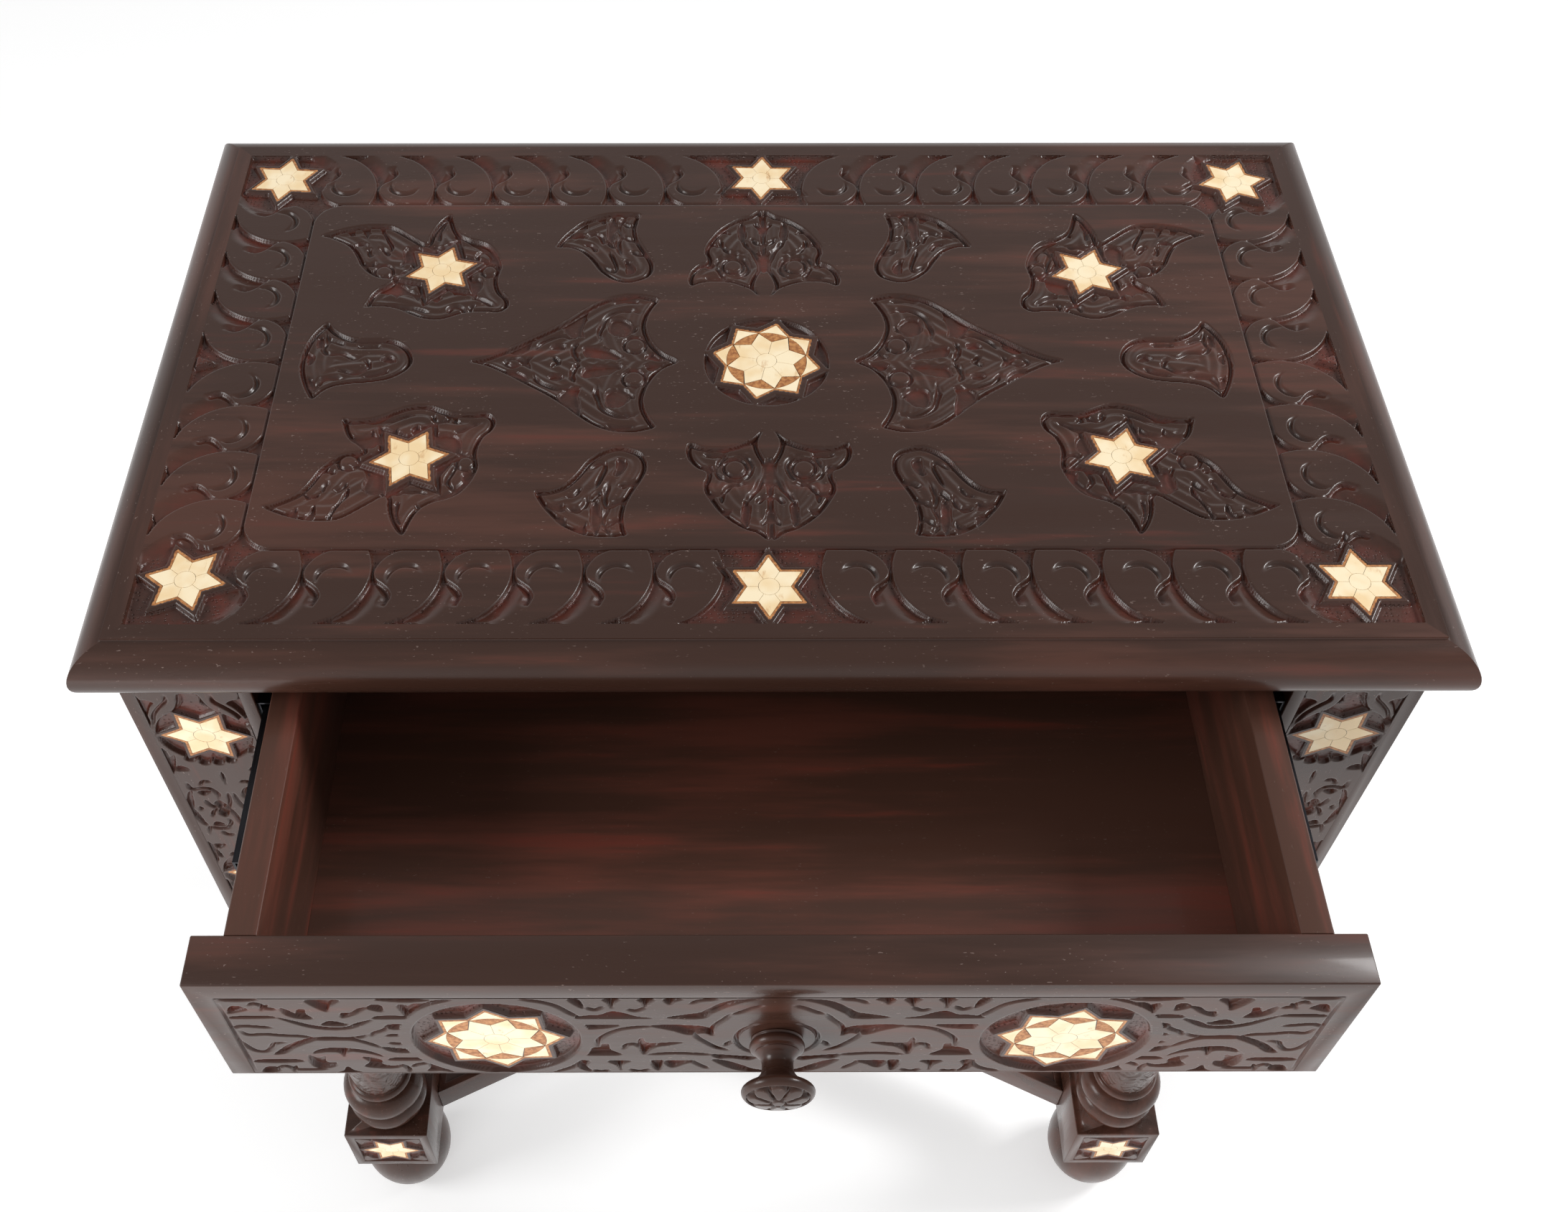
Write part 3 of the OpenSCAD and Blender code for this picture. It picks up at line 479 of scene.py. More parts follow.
# %% Block with a carved face
def upright(x, y, z):
    """Sets a sheet on edge, with its face to the front and its zero here."""
    return Matrix.Translation((x, y, z)) @ Matrix.Rotation(math.pi / 2, 4, "X")


def carved_block(name, body, corners, spacing, thickness, carve, place, finish):
    x0, x1, y0, y1 = corners
    across, up = round((x1 - x0) / spacing), round((y1 - y0) / spacing)
    bm = bmesh.new()
    bmesh.ops.create_grid(bm, x_segments=across, y_segments=up, size=0.5)
    bmesh.ops.scale(bm, vec=(x1 - x0, y1 - y0, 1), verts=bm.verts)
    bmesh.ops.translate(bm, vec=((x0 + x1) / 2, (y0 + y1) / 2, 0), verts=bm.verts)
    rim = [edge for edge in bm.edges if edge.is_boundary]
    lowered = bmesh.ops.extrude_edge_only(bm, edges=rim)["geom"]
    under = [part for part in lowered if isinstance(part, bmesh.types.BMVert)]
    bmesh.ops.translate(bm, vec=(0, 0, -thickness), verts=under)
    ring = [part for part in lowered if isinstance(part, bmesh.types.BMEdge)]
    bmesh.ops.contextual_create(bm, geom=ring)
    bmesh.ops.recalc_face_normals(bm, faces=bm.faces)
    for edge in rim + ring:
        edge.smooth = False
    mesh = mesh_from(name, bm)
    spots = np.empty(len(mesh.vertices) * 3)
    mesh.vertices.foreach_get("co", spots)
    spots = spots.reshape(-1, 3)
    top = spots[:, 2] > -thickness / 2
    sheet = Carving(spots[top, 0], spots[top, 1])
    carve(sheet)
    spots[top, 2] = sheet.height
    mesh.vertices.foreach_set("co", spots.ravel())
    for label in ("sunk", "punched"):
        values = np.zeros(len(spots))
        values[top] = getattr(sheet, label)
        layer = mesh.attributes.new(label, "FLOAT", "POINT")
        layer.data.foreach_set("value", values)
    mesh.transform(IN_FRAME @ place)
    return add_piece(mesh, body, finish)


# %% [markdown]
# ## The border of the top
#
# Round the top runs a sunk band of waves: each scroll has a round head near
# the field and a tail that swings out to the rim. The scrolls of each side
# start at its middle, where the long sides have a star, and run to both
# corners. One scroll is drawn, about the centre of its head, and each point
# of the band asks which scroll it belongs to.

# %% The two lines of one scroll
FIELD_X, FIELD_Y, FIELD_R, BAND = BOARD_X - 49.5, BOARD_Y - 49.5, 17.0, 49.5
DISH_R = 35.6         # the round sinking in the middle of the top
GROUND = 3.0
CORNER_R = 27.0       # the round ground about a corner star
HEAD_IN = 31.0        # how far in from the rim the head of a scroll lies
SWING = (18.5, 34.0, 35.0)    # circle that bounds a scroll: along, in, radius
CURL = curve_through([(0, 17.3), (-6, 16.2), (-12, 12.4), (-15.8, 7.0), (-17.0, 2.5),
                      (-15.6, -1.8), (-11.2, -5.4), (-8.0, -9.2), (-6.8, -13.2),
                      (-8.4, -18.5)])
TAIL = curve_through([(-8.4, -18.5), (-12, -24), (-21, -31.5)])
BROW = curve_through([(-10.3, -4.5), (-10.5, 0), (-8.5, 4), (-4.8, 6.6), (-1, 7.2),
                      (3, 6.2), (6, 3.6), (8, 0.8)])
BEYOND = [(-60, -31.5), (-60, 60), (0, 60)]
HEADS_LONG = [42 + 35.9 * k for k in range(7)]
HEADS_SHORT = [17.2 + 34.4 * k for k in range(4)]


# %% The ground of one run of scrolls
def run_of_scrolls(a, t, heads, corner):
    """a runs from the middle of a side, t inwards from the rim of the band."""
    cut = np.zeros(a.shape)
    ground = np.zeros(a.shape)
    before = np.where(a > corner, -1.0,
                      np.hypot(a - corner, t - BAND / 2) - CORNER_R)
    left = before >= 0
    cut[~left] = ground[~left] = 1
    for number, head in enumerate(heads[::-1]):
        ring = np.hypot(a - head - SWING[0], t - SWING[1]) - SWING[2]
        mine = left & (ring < 0)
        left &= ~mine
        x, y = head - a[mine], t[mine] - HEAD_IN
        apart = before[mine] + (2 if number == 0 else 0)
        curl_gap, _ = distance_to(x, y, CURL)
        open_side = inside_of(x, y, np.vstack([CURL, TAIL[1:], BEYOND]))
        by_ring = 1 - soft((apart - 1) / 11.0)
        by_curl = (1 - soft((curl_gap - 1) / 6.5)) * soft((y + 21) / 6)
        share = np.maximum(np.maximum(by_ring, by_curl), soft((y + 9) / 9))
        wall = np.where(open_side, soft(np.minimum(apart, curl_gap) / 1.3), 0)
        low = share * wall * (0.35 + 0.65 * soft((t[mine] + 2) / 9))
        brow_gap, along = distance_to(x, y, BROW)
        ends = soft(np.minimum(along + 0.08, 1 - along) / 0.35)
        brow = 0.75 * ends * soft(1 - brow_gap / (2.3 * (0.5 + 0.5 * ends)))
        cut[mine] = np.maximum(low, brow)
        ground[mine] = low
        before = ring
    cut[left] = ground[left] = soft(before[left] / 1.3)
    return cut, ground


# %% The whole band
def carve_border(sheet):
    ax, ay = np.abs(sheet.x), np.abs(sheet.y)
    qx, qy = ax - (FIELD_X - FIELD_R), ay - (FIELD_Y - FIELD_R)
    out = (np.hypot(np.maximum(qx, 0), np.maximum(qy, 0))
           + np.minimum(np.maximum(qx, qy), 0) - FIELD_R)
    tx, ty = BOARD_X - ax, BOARD_Y - ay
    short = tx < ty
    for side, heads, corner in ((short, HEADS_SHORT, BOARD_Y - BAND / 2),
                                (~short, HEADS_LONG, BOARD_X - BAND / 2)):
        here = (out > 0) & side
        if here.any():
            a = np.where(short, ay, ax)[here]
            t = np.where(short, tx, ty)[here]
            cut, ground = run_of_scrolls(a, t, heads, corner)
            sheet.height[here] = -GROUND * cut
            sheet.sunk[here] = ground
            sheet.punched[here] = soft((ground - 0.93) / 0.06)
    slit = np.where(out > 0, 1 - soft((out - 1.2) / 0.8), 0)
    edges = soft(out / 0.8) * soft(np.minimum(tx, ty) / 0.9)
    lowered = np.minimum(sheet.height, -GROUND * slit) * edges
    sheet.height[out > 0] = lowered[out > 0]
    sheet.sunk[out > 0] = np.maximum(sheet.sunk, slit)[out > 0] * edges[out > 0]
    leaf = soft((5.5 * (1 - tx / 13) - ay) / 1.2) * (tx > 1) * (tx < 13) * short
    sheet.height *= 1 - leaf * (out > 0)
    sheet.worked = soft(out) * edges


# %% [markdown]
# ## The figures in the field
#
# Fourteen figures are sunk into the plain field: a pointed cartouche round
# each star, two large arabesques, two palmettes and six tulips. All mirror
# left to right, and the cartouches, the palmettes and the four tulips beside
# them front to back too. So one of each kind is drawn, as an outline with
# hollows, cuts and bosses. Inside its outline a ditch runs round the figure,
# its leaves rise and fall just under the level of the board, and deep hollows
# and V-shaped cuts part them.

# %% How one figure is cut
FIGURE_DEPTH, LEAF_DEPTH, FIGURE_FLOOR = 2.9, 0.25, -3.2
DITCH, DITCH_WALL = 1.5, 1.9
LEAF_START = DITCH + DITCH_WALL
LEAF_RIPPLE = 6.0     # from one rounded ridge of a leaf to the next
RIPPLE_DEPTH = 0.75


def figure(sheet, x, y, drawing):
    outline, hollows, cuts, bosses = drawing
    line = curve_through(outline, closed=True, steps=4)
    here = Carving(x, y).near(line, 1)
    if not here.any():
        return
    part = Carving(x[here], y[here])
    d = depth_inside(part.x, part.y, line)
    moat = 1 - soft((d - DITCH) / DITCH_WALL)
    part.height = (-LEAF_DEPTH - (FIGURE_DEPTH - LEAF_DEPTH) * moat
                   - 0.6 * soft(1 - d / 12))
    ripple = 0.5 - 0.5 * np.cos(2 * math.pi * (d - LEAF_START) / LEAF_RIPPLE)
    part.height -= RIPPLE_DEPTH * ripple * soft((d - LEAF_START) / 2)
    part.sunk = moat.copy()
    for points in hollows:
        part.pocket(points, FIGURE_DEPTH, 1.1)
    for width, points in cuts:
        part.vein(points, 2.6, 1.45 * width)
    for across, up, size in bosses:
        r = np.hypot(part.x - across, part.y - up)
        ditch = soft((size + 2.4 - r) / 1.1)
        part.height = np.minimum(part.height, -2.7 * ditch)
        dome = -0.35 - 0.7 * soft((r - size + 1.6) / 1.6)
        part.height = np.where(r < size, dome, part.height)
        part.sunk = np.where(r < size, 0.1, np.maximum(part.sunk, ditch))
    wall = soft(d / 0.8)
    part.height = np.maximum(part.height, FIGURE_FLOOR) * wall
    deepen(sheet.height, here, part.height)
    mark(sheet.sunk, here, part.sunk * wall)
    mark(sheet.worked, here, wall)


def both_ways(curves):
    """The same curves and their mirror images about the line y = 0."""
    return list(curves) + [[(x, -y) for x, y in curve] for curve in curves]


# %% The cartouche round a star
CARTOUCHE = (
    [(-234, -45), (-228, -46), (-219, -45), (-212, -42.5), (-206, -39), (-200, -36),
     (-193, -34.5), (-187, -35), (-181, -37.5), (-175, -40), (-168, -41), (-162, -41),
     (-156, -40.5), (-151.5, -43), (-149.5, -48), (-151, -54), (-155, -59),
     (-157, -64), (-158, -70), (-157, -76), (-156.5, -82), (-158, -88), (-160, -93),
     (-163, -98), (-167, -102), (-172, -104.5), (-178, -106.5), (-183, -110),
     (-186, -114), (-188, -119), (-189.5, -124), (-191.5, -129), (-195, -126),
     (-198, -121), (-200.5, -115), (-202, -109), (-203, -103), (-206, -103),
     (-211, -107), (-216, -111), (-221, -115), (-227, -118.5), (-236, -119.5),
     (-245, -118.5), (-254, -116), (-262, -112.5), (-268, -109), (-264, -107.5),
     (-257, -104), (-251, -100), (-247, -95), (-244, -89), (-241, -82.5),
     (-236, -76), (-230, -71.5), (-224, -70), (-220, -69), (-223, -65), (-227, -62),
     (-231, -56), (-233, -50)],
    [[(-231, -53), (-226, -57), (-218, -55.5), (-216, -51), (-214, -56), (-207, -55),
      (-203, -51), (-202, -58), (-208, -61), (-215, -67), (-220, -66), (-226, -62)],
     [(-184, -58), (-177, -55), (-170, -57), (-166, -63), (-167, -70), (-172, -72),
      (-178, -66)],
     [(-181, -86), (-177, -78), (-172, -74), (-171, -79), (-175, -86), (-180, -92)],
     [(-158, -83), (-165, -85), (-164, -91), (-159, -92)],
     [(-224, -94), (-222.5, -100), (-226, -107), (-229, -113), (-230.5, -118.5),
      (-234, -117.5), (-231, -110), (-227, -102)],
     [(-248, -99), (-243, -100.5), (-238, -99), (-239, -103), (-245, -104)],
     [(-261, -112), (-254, -112.5), (-249, -109), (-248, -116), (-254, -116)],
     [(-245.5, -117), (-243, -112), (-240, -107), (-238.5, -113), (-240, -118)],
     [(-199, -107), (-195, -105), (-195, -113), (-192.5, -122), (-197, -118)],
     [(-212, -83), (-206, -87), (-205, -97), (-210, -101), (-217, -97), (-216, -88)],
     [(-196, -53), (-192, -49), (-189, -54), (-193, -57)]],
    [(3.2, [(-240, -84), (-235, -83), (-232, -86)]),
     (3.4, [(-238, -99), (-237, -94), (-234.5, -90.5)]),
     (3.4, [(-232, -98), (-228, -96), (-225, -91.5)]),
     (3.0, [(-203, -100), (-195, -98.5), (-187, -98), (-181, -100)]),
     (3.0, [(-187, -107), (-185, -111), (-186, -115)]),
     (3.4, [(-179, -104), (-171, -100), (-165, -94), (-161, -87)]),
     (3.2, [(-184, -40), (-184, -45), (-180, -47), (-176, -44), (-175, -39)]),
     (2.8, [(-172, -41), (-172, -46), (-169, -48)]),
     (3.4, [(-173, -56), (-166, -52), (-158, -47.5)]),
     (3.2, [(-168, -97), (-172, -91), (-170, -84), (-168, -78)]),
     (2.8, [(-217, -81), (-214, -88), (-215, -96)]),
     (2.6, [(-220, -48.5), (-206, -45), (-195, -41)])],
    [(-226.5, -77, 4.8), (-163.5, -77.5, 4.2)])

# %% The arabesque beside the middle
ARABESQUE_HALF = [
    (-168, 0), (-158, 4), (-146, 11), (-134, 19.5), (-123, 27), (-114, 34.5),
    (-106, 42), (-98.5, 48.5), (-91, 53), (-83, 55.5), (-75, 56), (-68, 54.5),
    (-62, 51.5), (-65, 45), (-68, 37.5), (-69, 29.5), (-67.5, 21.5), (-64, 13.5),
    (-58.5, 6.5), (-50, 0)]
ARABESQUE = (
    ARABESQUE_HALF + [(x, -y) for x, y in ARABESQUE_HALF[-2:0:-1]],
    both_ways([
        [(-117, 29), (-109, 37), (-103, 43), (-103.5, 34), (-105, 26), (-104, 20),
         (-110, 20), (-115, 23)],
        [(-90, 35), (-84, 37), (-79, 34), (-76, 29), (-80, 23), (-86, 21), (-91, 25)],
        [(-105, 12), (-97, 13), (-88, 10), (-81, 4.5), (-84, 1.5), (-94, 2), (-103, 4)],
        [(-149, 8), (-141, 12), (-134, 16.5), (-135, 11), (-142, 6)],
        [(-70, 3), (-65, 8), (-61, 5), (-57, 1), (-64, 0.5)],
        [(-124, 12), (-120, 15.5), (-114, 14), (-115, 10), (-121, 9)]]),
    [(width, points) for width, half in (
        (3.6, [(-95, 17), (-95.5, 26), (-92, 36), (-86, 41.5), (-79, 43), (-72, 41)]),
        (3.2, [(-85, 20), (-79, 23.5), (-74, 29)]),
        (3.6, [(-108, 16), (-110, 10), (-108, 4), (-106, 0)]),
        (3.0, [(-150, 1), (-144, -3), (-138, -1), (-133, 5)]),
        (2.8, [(-132, 9), (-127, 17), (-117, 21), (-108, 19)]),
        (2.8, [(-122, 4), (-118, 0), (-122, -4)]),
        (2.6, [(-90, 49), (-82, 51.5), (-73, 50.5)])) for points in both_ways([half])],
    [(-75, 13.5, 5.6), (-75, -13.5, 5.6)])

# %% The palmette before the middle
PALMETTE = (
    [(0.5, -79), (-2, -76), (-5, -69), (-6, -62), (-3, -54), (-8, -60), (-13, -63),
     (-20, -66), (-29, -67), (-37, -66), (-43, -63.5), (-45, -69), (-43.5, -76),
     (-39, -82), (-34, -85), (-34, -89), (-35.5, -94), (-34.5, -100), (-31.5, -106),
     (-28, -112), (-23, -118), (-15, -124.5), (-8, -127.5), (0.5, -129.5)],
    [[(-42, -77), (-37, -80), (-31, -79), (-29, -84), (-34, -84.5)],
     [(-34.5, -97), (-29, -99), (-21, -97.5), (-26, -101), (-32, -104)],
     [(-14.5, -105), (-10, -107), (-10, -115), (-12, -123), (-16, -118)],
     [(-2.5, -80), (1, -84), (1, -92), (-5, -96), (-3, -90)],
     [(-3, -112), (0.5, -108), (0.5, -117), (-3, -120)],
     [(-29, -111), (-22, -111), (-19, -110), (-22, -115)]],
    [(3.8, [(-4, -70), (-2.5, -78), (-3, -86), (-6, -94), (-10, -101), (-14, -107)]),
     (3.4, [(-28, -80), (-28.5, -85), (-24, -89.5), (-17, -90), (-11.5, -87),
            (-9.5, -80), (-13, -73.5), (-19, -71.5)]),
     (3.4, [(-28, -81), (-26, -76), (-23, -72)]),
     (2.8, [(-36, -71), (-28, -72), (-22, -70)]),
     (3.0, [(-5, -122), (-2, -117), (0, -113)]),
     (3.0, [(-8, -107), (-4, -103), (0, -101)]),
     (3.0, [(-26, -107), (-25, -100), (-20, -94), (-12, -93)])],
    [(-18.5, -81.5, 5.4)])

# %% The tulips
TULIP = (
    [(-125, -98.5), (-118, -98), (-111, -95), (-106, -90), (-102, -84), (-98, -77),
     (-93, -71.5), (-87, -67.5), (-81, -66), (-75, -67.5), (-69, -71), (-66, -77),
     (-66, -84), (-69, -92), (-73, -100), (-76, -108), (-77, -116), (-76, -124),
     (-75, -129), (-82, -130.5), (-90, -130.5), (-98, -129), (-104, -126),
     (-110, -122), (-116, -115), (-121, -108)],
    [[(-121, -106), (-114, -107), (-109, -106), (-108, -112), (-114, -112)],
     [(-117, -114), (-110, -115), (-106.5, -117), (-107, -122), (-112, -119)],
     [(-105, -124), (-99, -122), (-96.5, -119.5), (-95.5, -126), (-97, -128.5)],
     [(-82, -74), (-77, -75), (-76, -80), (-80, -87), (-84, -87), (-83, -80)],
     [(-95, -107), (-90.5, -104), (-89, -112), (-88.5, -121), (-91, -129),
      (-95, -121)]],
    [(3.0, [(-109, -102), (-104, -101), (-100, -95)]),
     (3.6, [(-108, -110), (-102, -111.5), (-98, -108), (-96.5, -101)]),
     (3.4, [(-95, -105), (-92, -101), (-89.5, -98)]),
     (3.8, [(-84, -89), (-86.5, -95), (-88, -103), (-86, -110), (-88, -118),
            (-85, -126), (-82, -130)]),
     (3.2, [(-81, -95), (-75, -93), (-70, -91)]),
     (3.2, [(-86, -109), (-80, -106), (-74, -103.5)]),
     (3.0, [(-86, -122), (-82, -119), (-79, -118)]),
     (2.8, [(-98, -84), (-92, -78), (-88, -79), (-90, -88), (-93, -97)])],
    [])
END_TULIP = (
    [(-264.5, 0), (-264, 8), (-262, 17), (-258, 26), (-253, 32), (-249, 27),
     (-243, 22), (-236, 19), (-228, 18.5), (-219, 18.5), (-212, 17), (-206, 13),
     (-202, 7), (-200.5, 0), (-202.5, -6), (-207, -11), (-214, -15), (-223, -17),
     (-233, -18), (-242, -20), (-248, -24), (-253, -30), (-257, -25), (-261, -16),
     (-263.5, -8)],
    [[(-220, 1), (-216, 5.5), (-211, 4), (-209.5, -1), (-214, -1)],
     [(-262, 8), (-257, 6), (-256, 1), (-260, -3)],
     [(-259, -12), (-254, -14), (-254, -22), (-257, -20)],
     [(-258, 20), (-254, 22), (-253, 14), (-257, 11)]],
    [(3.4, [(-253, 26), (-251, 17), (-253, 11), (-249, 7), (-241, 6.5), (-234, 3),
            (-228, 5)]),
     (3.4, [(-243, -5), (-236, -8), (-230, -8), (-225, -3), (-228, 3)]),
     (3.2, [(-234, 14), (-227, 13), (-220, 14)]),
     (3.2, [(-251, 18), (-246, 17), (-241, 15)]),
     (3.6, [(-254, -24), (-251, -15), (-245, -12), (-238, -13)]),
     (3.2, [(-228, -11), (-220, -10), (-213, -5)])],
    [])

# %% The stars of the top and the whole of its carving
STAR_OUT, UNDER_STAR = 22.2, -1.8
BORDER_STARS = [(-298.05, -158.45, 52), (-298.75, 162.75, 26), (-2, -163.45, 30),
                (0, 164.05, 28), (297.45, -160.85, 30), (295.25, 160.05, 8)]
FIELD_STARS = [(-194, -75, 8), (-192, 77.5, 16), (190, -74, 14), (192, 75, 10)]
MIDDLE_STAR = (0, 0, 31.6, 8, -12)


def carve_top(sheet):
    carve_border(sheet)
    left, front = -np.abs(sheet.x), -np.abs(sheet.y)
    for drawing in (CARTOUCHE, PALMETTE, TULIP):
        figure(sheet, left, front, drawing)
    for drawing in (ARABESQUE, END_TULIP):
        figure(sheet, left, sheet.y, drawing)
    ring = DISH_R - np.hypot(sheet.x, sheet.y)
    sheet.height = np.where(ring > 0, -3 * soft(ring), sheet.height)
    sheet.sunk = np.where(ring > 0, soft(ring), sheet.sunk)
    for across, up, turn in BORDER_STARS + FIELD_STARS:
        sheet.star((across, up, STAR_OUT, 6, turn), 1.5, 1.3, 0, UNDER_STAR, 4.5)
    sheet.star(MIDDLE_STAR, 2.8, 1.2, 0, UNDER_STAR)


# %% [markdown]
# ## The board of the top
#
# One grid fine enough for the veins would be far too heavy for a single
# piece, so the carved face is laid as nine tiles on one thick board. Their
# rims share the same points, and so no joint shows. Together they take the
# place of the plain panel from the frame.

# %% Nine carved tiles and the board under them
SEAM_X, SEAM_Y = BOARD_X / 3, 62
TILE_X = [-BOARD_X, -SEAM_X, SEAM_X, BOARD_X]
TILE_Y = [-BOARD_Y, -SEAM_Y, SEAM_Y, BOARD_Y]
SPACING = 0.66
FACE_T = 4.0
tiles = []
for column in range(3):
    for row in range(3):
        corners = (TILE_X[column], TILE_X[column + 1], TILE_Y[row], TILE_Y[row + 1])
        tile = carved_block(f"top_carving_{column + 1}_{row + 1}", "table", corners,
                            SPACING, FACE_T, carve_top,
                            Matrix.Translation((0, 0, TOP_Z)), carved["x"])
        tiles.append(tile)
print("tiles:", len(tiles), "faces each about", len(tiles[0].data.polygons))


# %% The plain board under the tiles
def plain_block(name, body, low, high, finish):
    bm = bmesh.new()
    bmesh.ops.create_cube(bm, size=1.0)
    bmesh.ops.scale(bm, vec=[b - a for a, b in zip(low, high)], verts=bm.verts)
    middle = [(a + b) / 2 for a, b in zip(low, high)]
    bmesh.ops.translate(bm, vec=middle, verts=bm.verts)
    bmesh.ops.scale(bm, vec=(MM, MM, MM), verts=bm.verts)
    bmesh.ops.translate(bm, vec=(0, SHIFT, 0), verts=bm.verts)
    return add_piece(mesh_from(name, bm, False), body, finish)


board = plain_block("top_board", "table", (-BOARD_X, -BOARD_Y, SLAB_Z),
                    (BOARD_X, BOARD_Y, TOP_Z - FACE_T), carved["x"])
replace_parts(board, "top_panel")
print("board under the carving:", round(TOP_Z - FACE_T - SLAB_Z, 1), "mm thick")

# %% [markdown]
# ## Softened copies of the plain parts
#
# No edge on real furniture is a knife edge: the polisher takes each one off,
# and that thin round catches the light. The frame's own meshes stay as they
# are. In a copy of each visible part the doubled points are merged, the flat
# faces joined, the long edges bevelled and the turned faces shaded smooth.
# The copy then stands for the frame's part.

# %% Copy of a solid with its long edges taken off
LONG_EDGE = 0.02      # in metres; shorter edges stay as they are


def softened(node, body, finish, ease=0.7):
    bm = bmesh.new()
    bm.from_mesh(nodes[node].data)
    bmesh.ops.remove_doubles(bm, verts=bm.verts, dist=2e-6)
    bmesh.ops.dissolve_limit(bm, angle_limit=math.radians(0.5), verts=bm.verts,
                             edges=bm.edges)
    sharp = [edge for edge in bm.edges
             if len(edge.link_faces) == 2 and edge.calc_length() > LONG_EDGE
             and edge.calc_face_angle_signed() > math.radians(40)]
    if ease and sharp:
        bmesh.ops.bevel(bm, geom=sharp, offset=ease * MM, offset_type="OFFSET",
                        segments=2, profile=0.5, affect="EDGES", material=-1)
    mesh = mesh_from(node + "_softened", bm)
    mesh.set_sharp_from_angle(angle=math.radians(32))
    mesh.materials.clear()
    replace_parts(add_piece(mesh, body, finish), node)


# %% The moulding, the legs, the feet and the case
for side, axis in (("front", "x"), ("back", "x"), ("left", "y"), ("right", "y")):
    softened(f"edge_{side}", "table", carved[axis], 0)
for corner in ("front_left", "front_right", "back_left", "back_right"):
    softened(f"leg_{corner}", "table", carved["z"])
    softened(f"foot_{corner}", "table", carved["z"], 0)
for node, axis in (("side_panel_left", "y"), ("side_panel_right", "y"),
                   ("back_panel", "x"), ("front_apron", "x"),
                   ("stretcher_lower", "x"), ("stretcher_upper", "x")):
    softened(node, "table", carved[axis])

# %% The drawer
softened("drawer_front", "drawer", carved["x"], 0.8)
for node, axis in (("drawer_side_left", "y"), ("drawer_side_right", "y"),
                   ("drawer_back", "x")):
    softened(node, "drawer", inside[axis], 0.8)
softened("drawer_bottom", "drawer", inside["x"], 0)

# %% [markdown]
# ## Finishes on the parts that stay
#
# Screws, slides, balls, runners and the inlaid stars are right as they come
# from the frame. They only get their finish in the slots of their own
# materials.

# %% Materials in the slots of the frame's parts
def dress(names, finish):
    for name in names:
        for slot in nodes[name].material_slots:
            slot.material = finish


dress([n for n in nodes if n.endswith("_bone")], bone.material)
dress([n for n in nodes if n.endswith("_edging")], edging.material)
dress([n for n in nodes if n.startswith("slide_") and "balls" not in n], black_steel)
dress([n for n in nodes if n.endswith("screws") or n == "knob_screw"], bright_steel)
dress(["slide_balls_left", "slide_balls_right"], bright_steel)
dress(["runner_left", "runner_right", "cleat_left", "cleat_right"], inside["y"])
dress(["cleat_back"], inside["x"])
print("stars:", [n for n in nodes if n.endswith("_bone")])

# %% [markdown]
# ## The carved drawer front
#
# The front is cut in strapwork: a broad band loops round both stars and the
# knob, with small leaves and scrolls between. Almost all of it stays level
# with the face, and narrow slots and small pockets part the straps from the
# leaves. So the drawing is a list of slots and pockets, with heights above
# the floor, mirrored left to right about the knob.

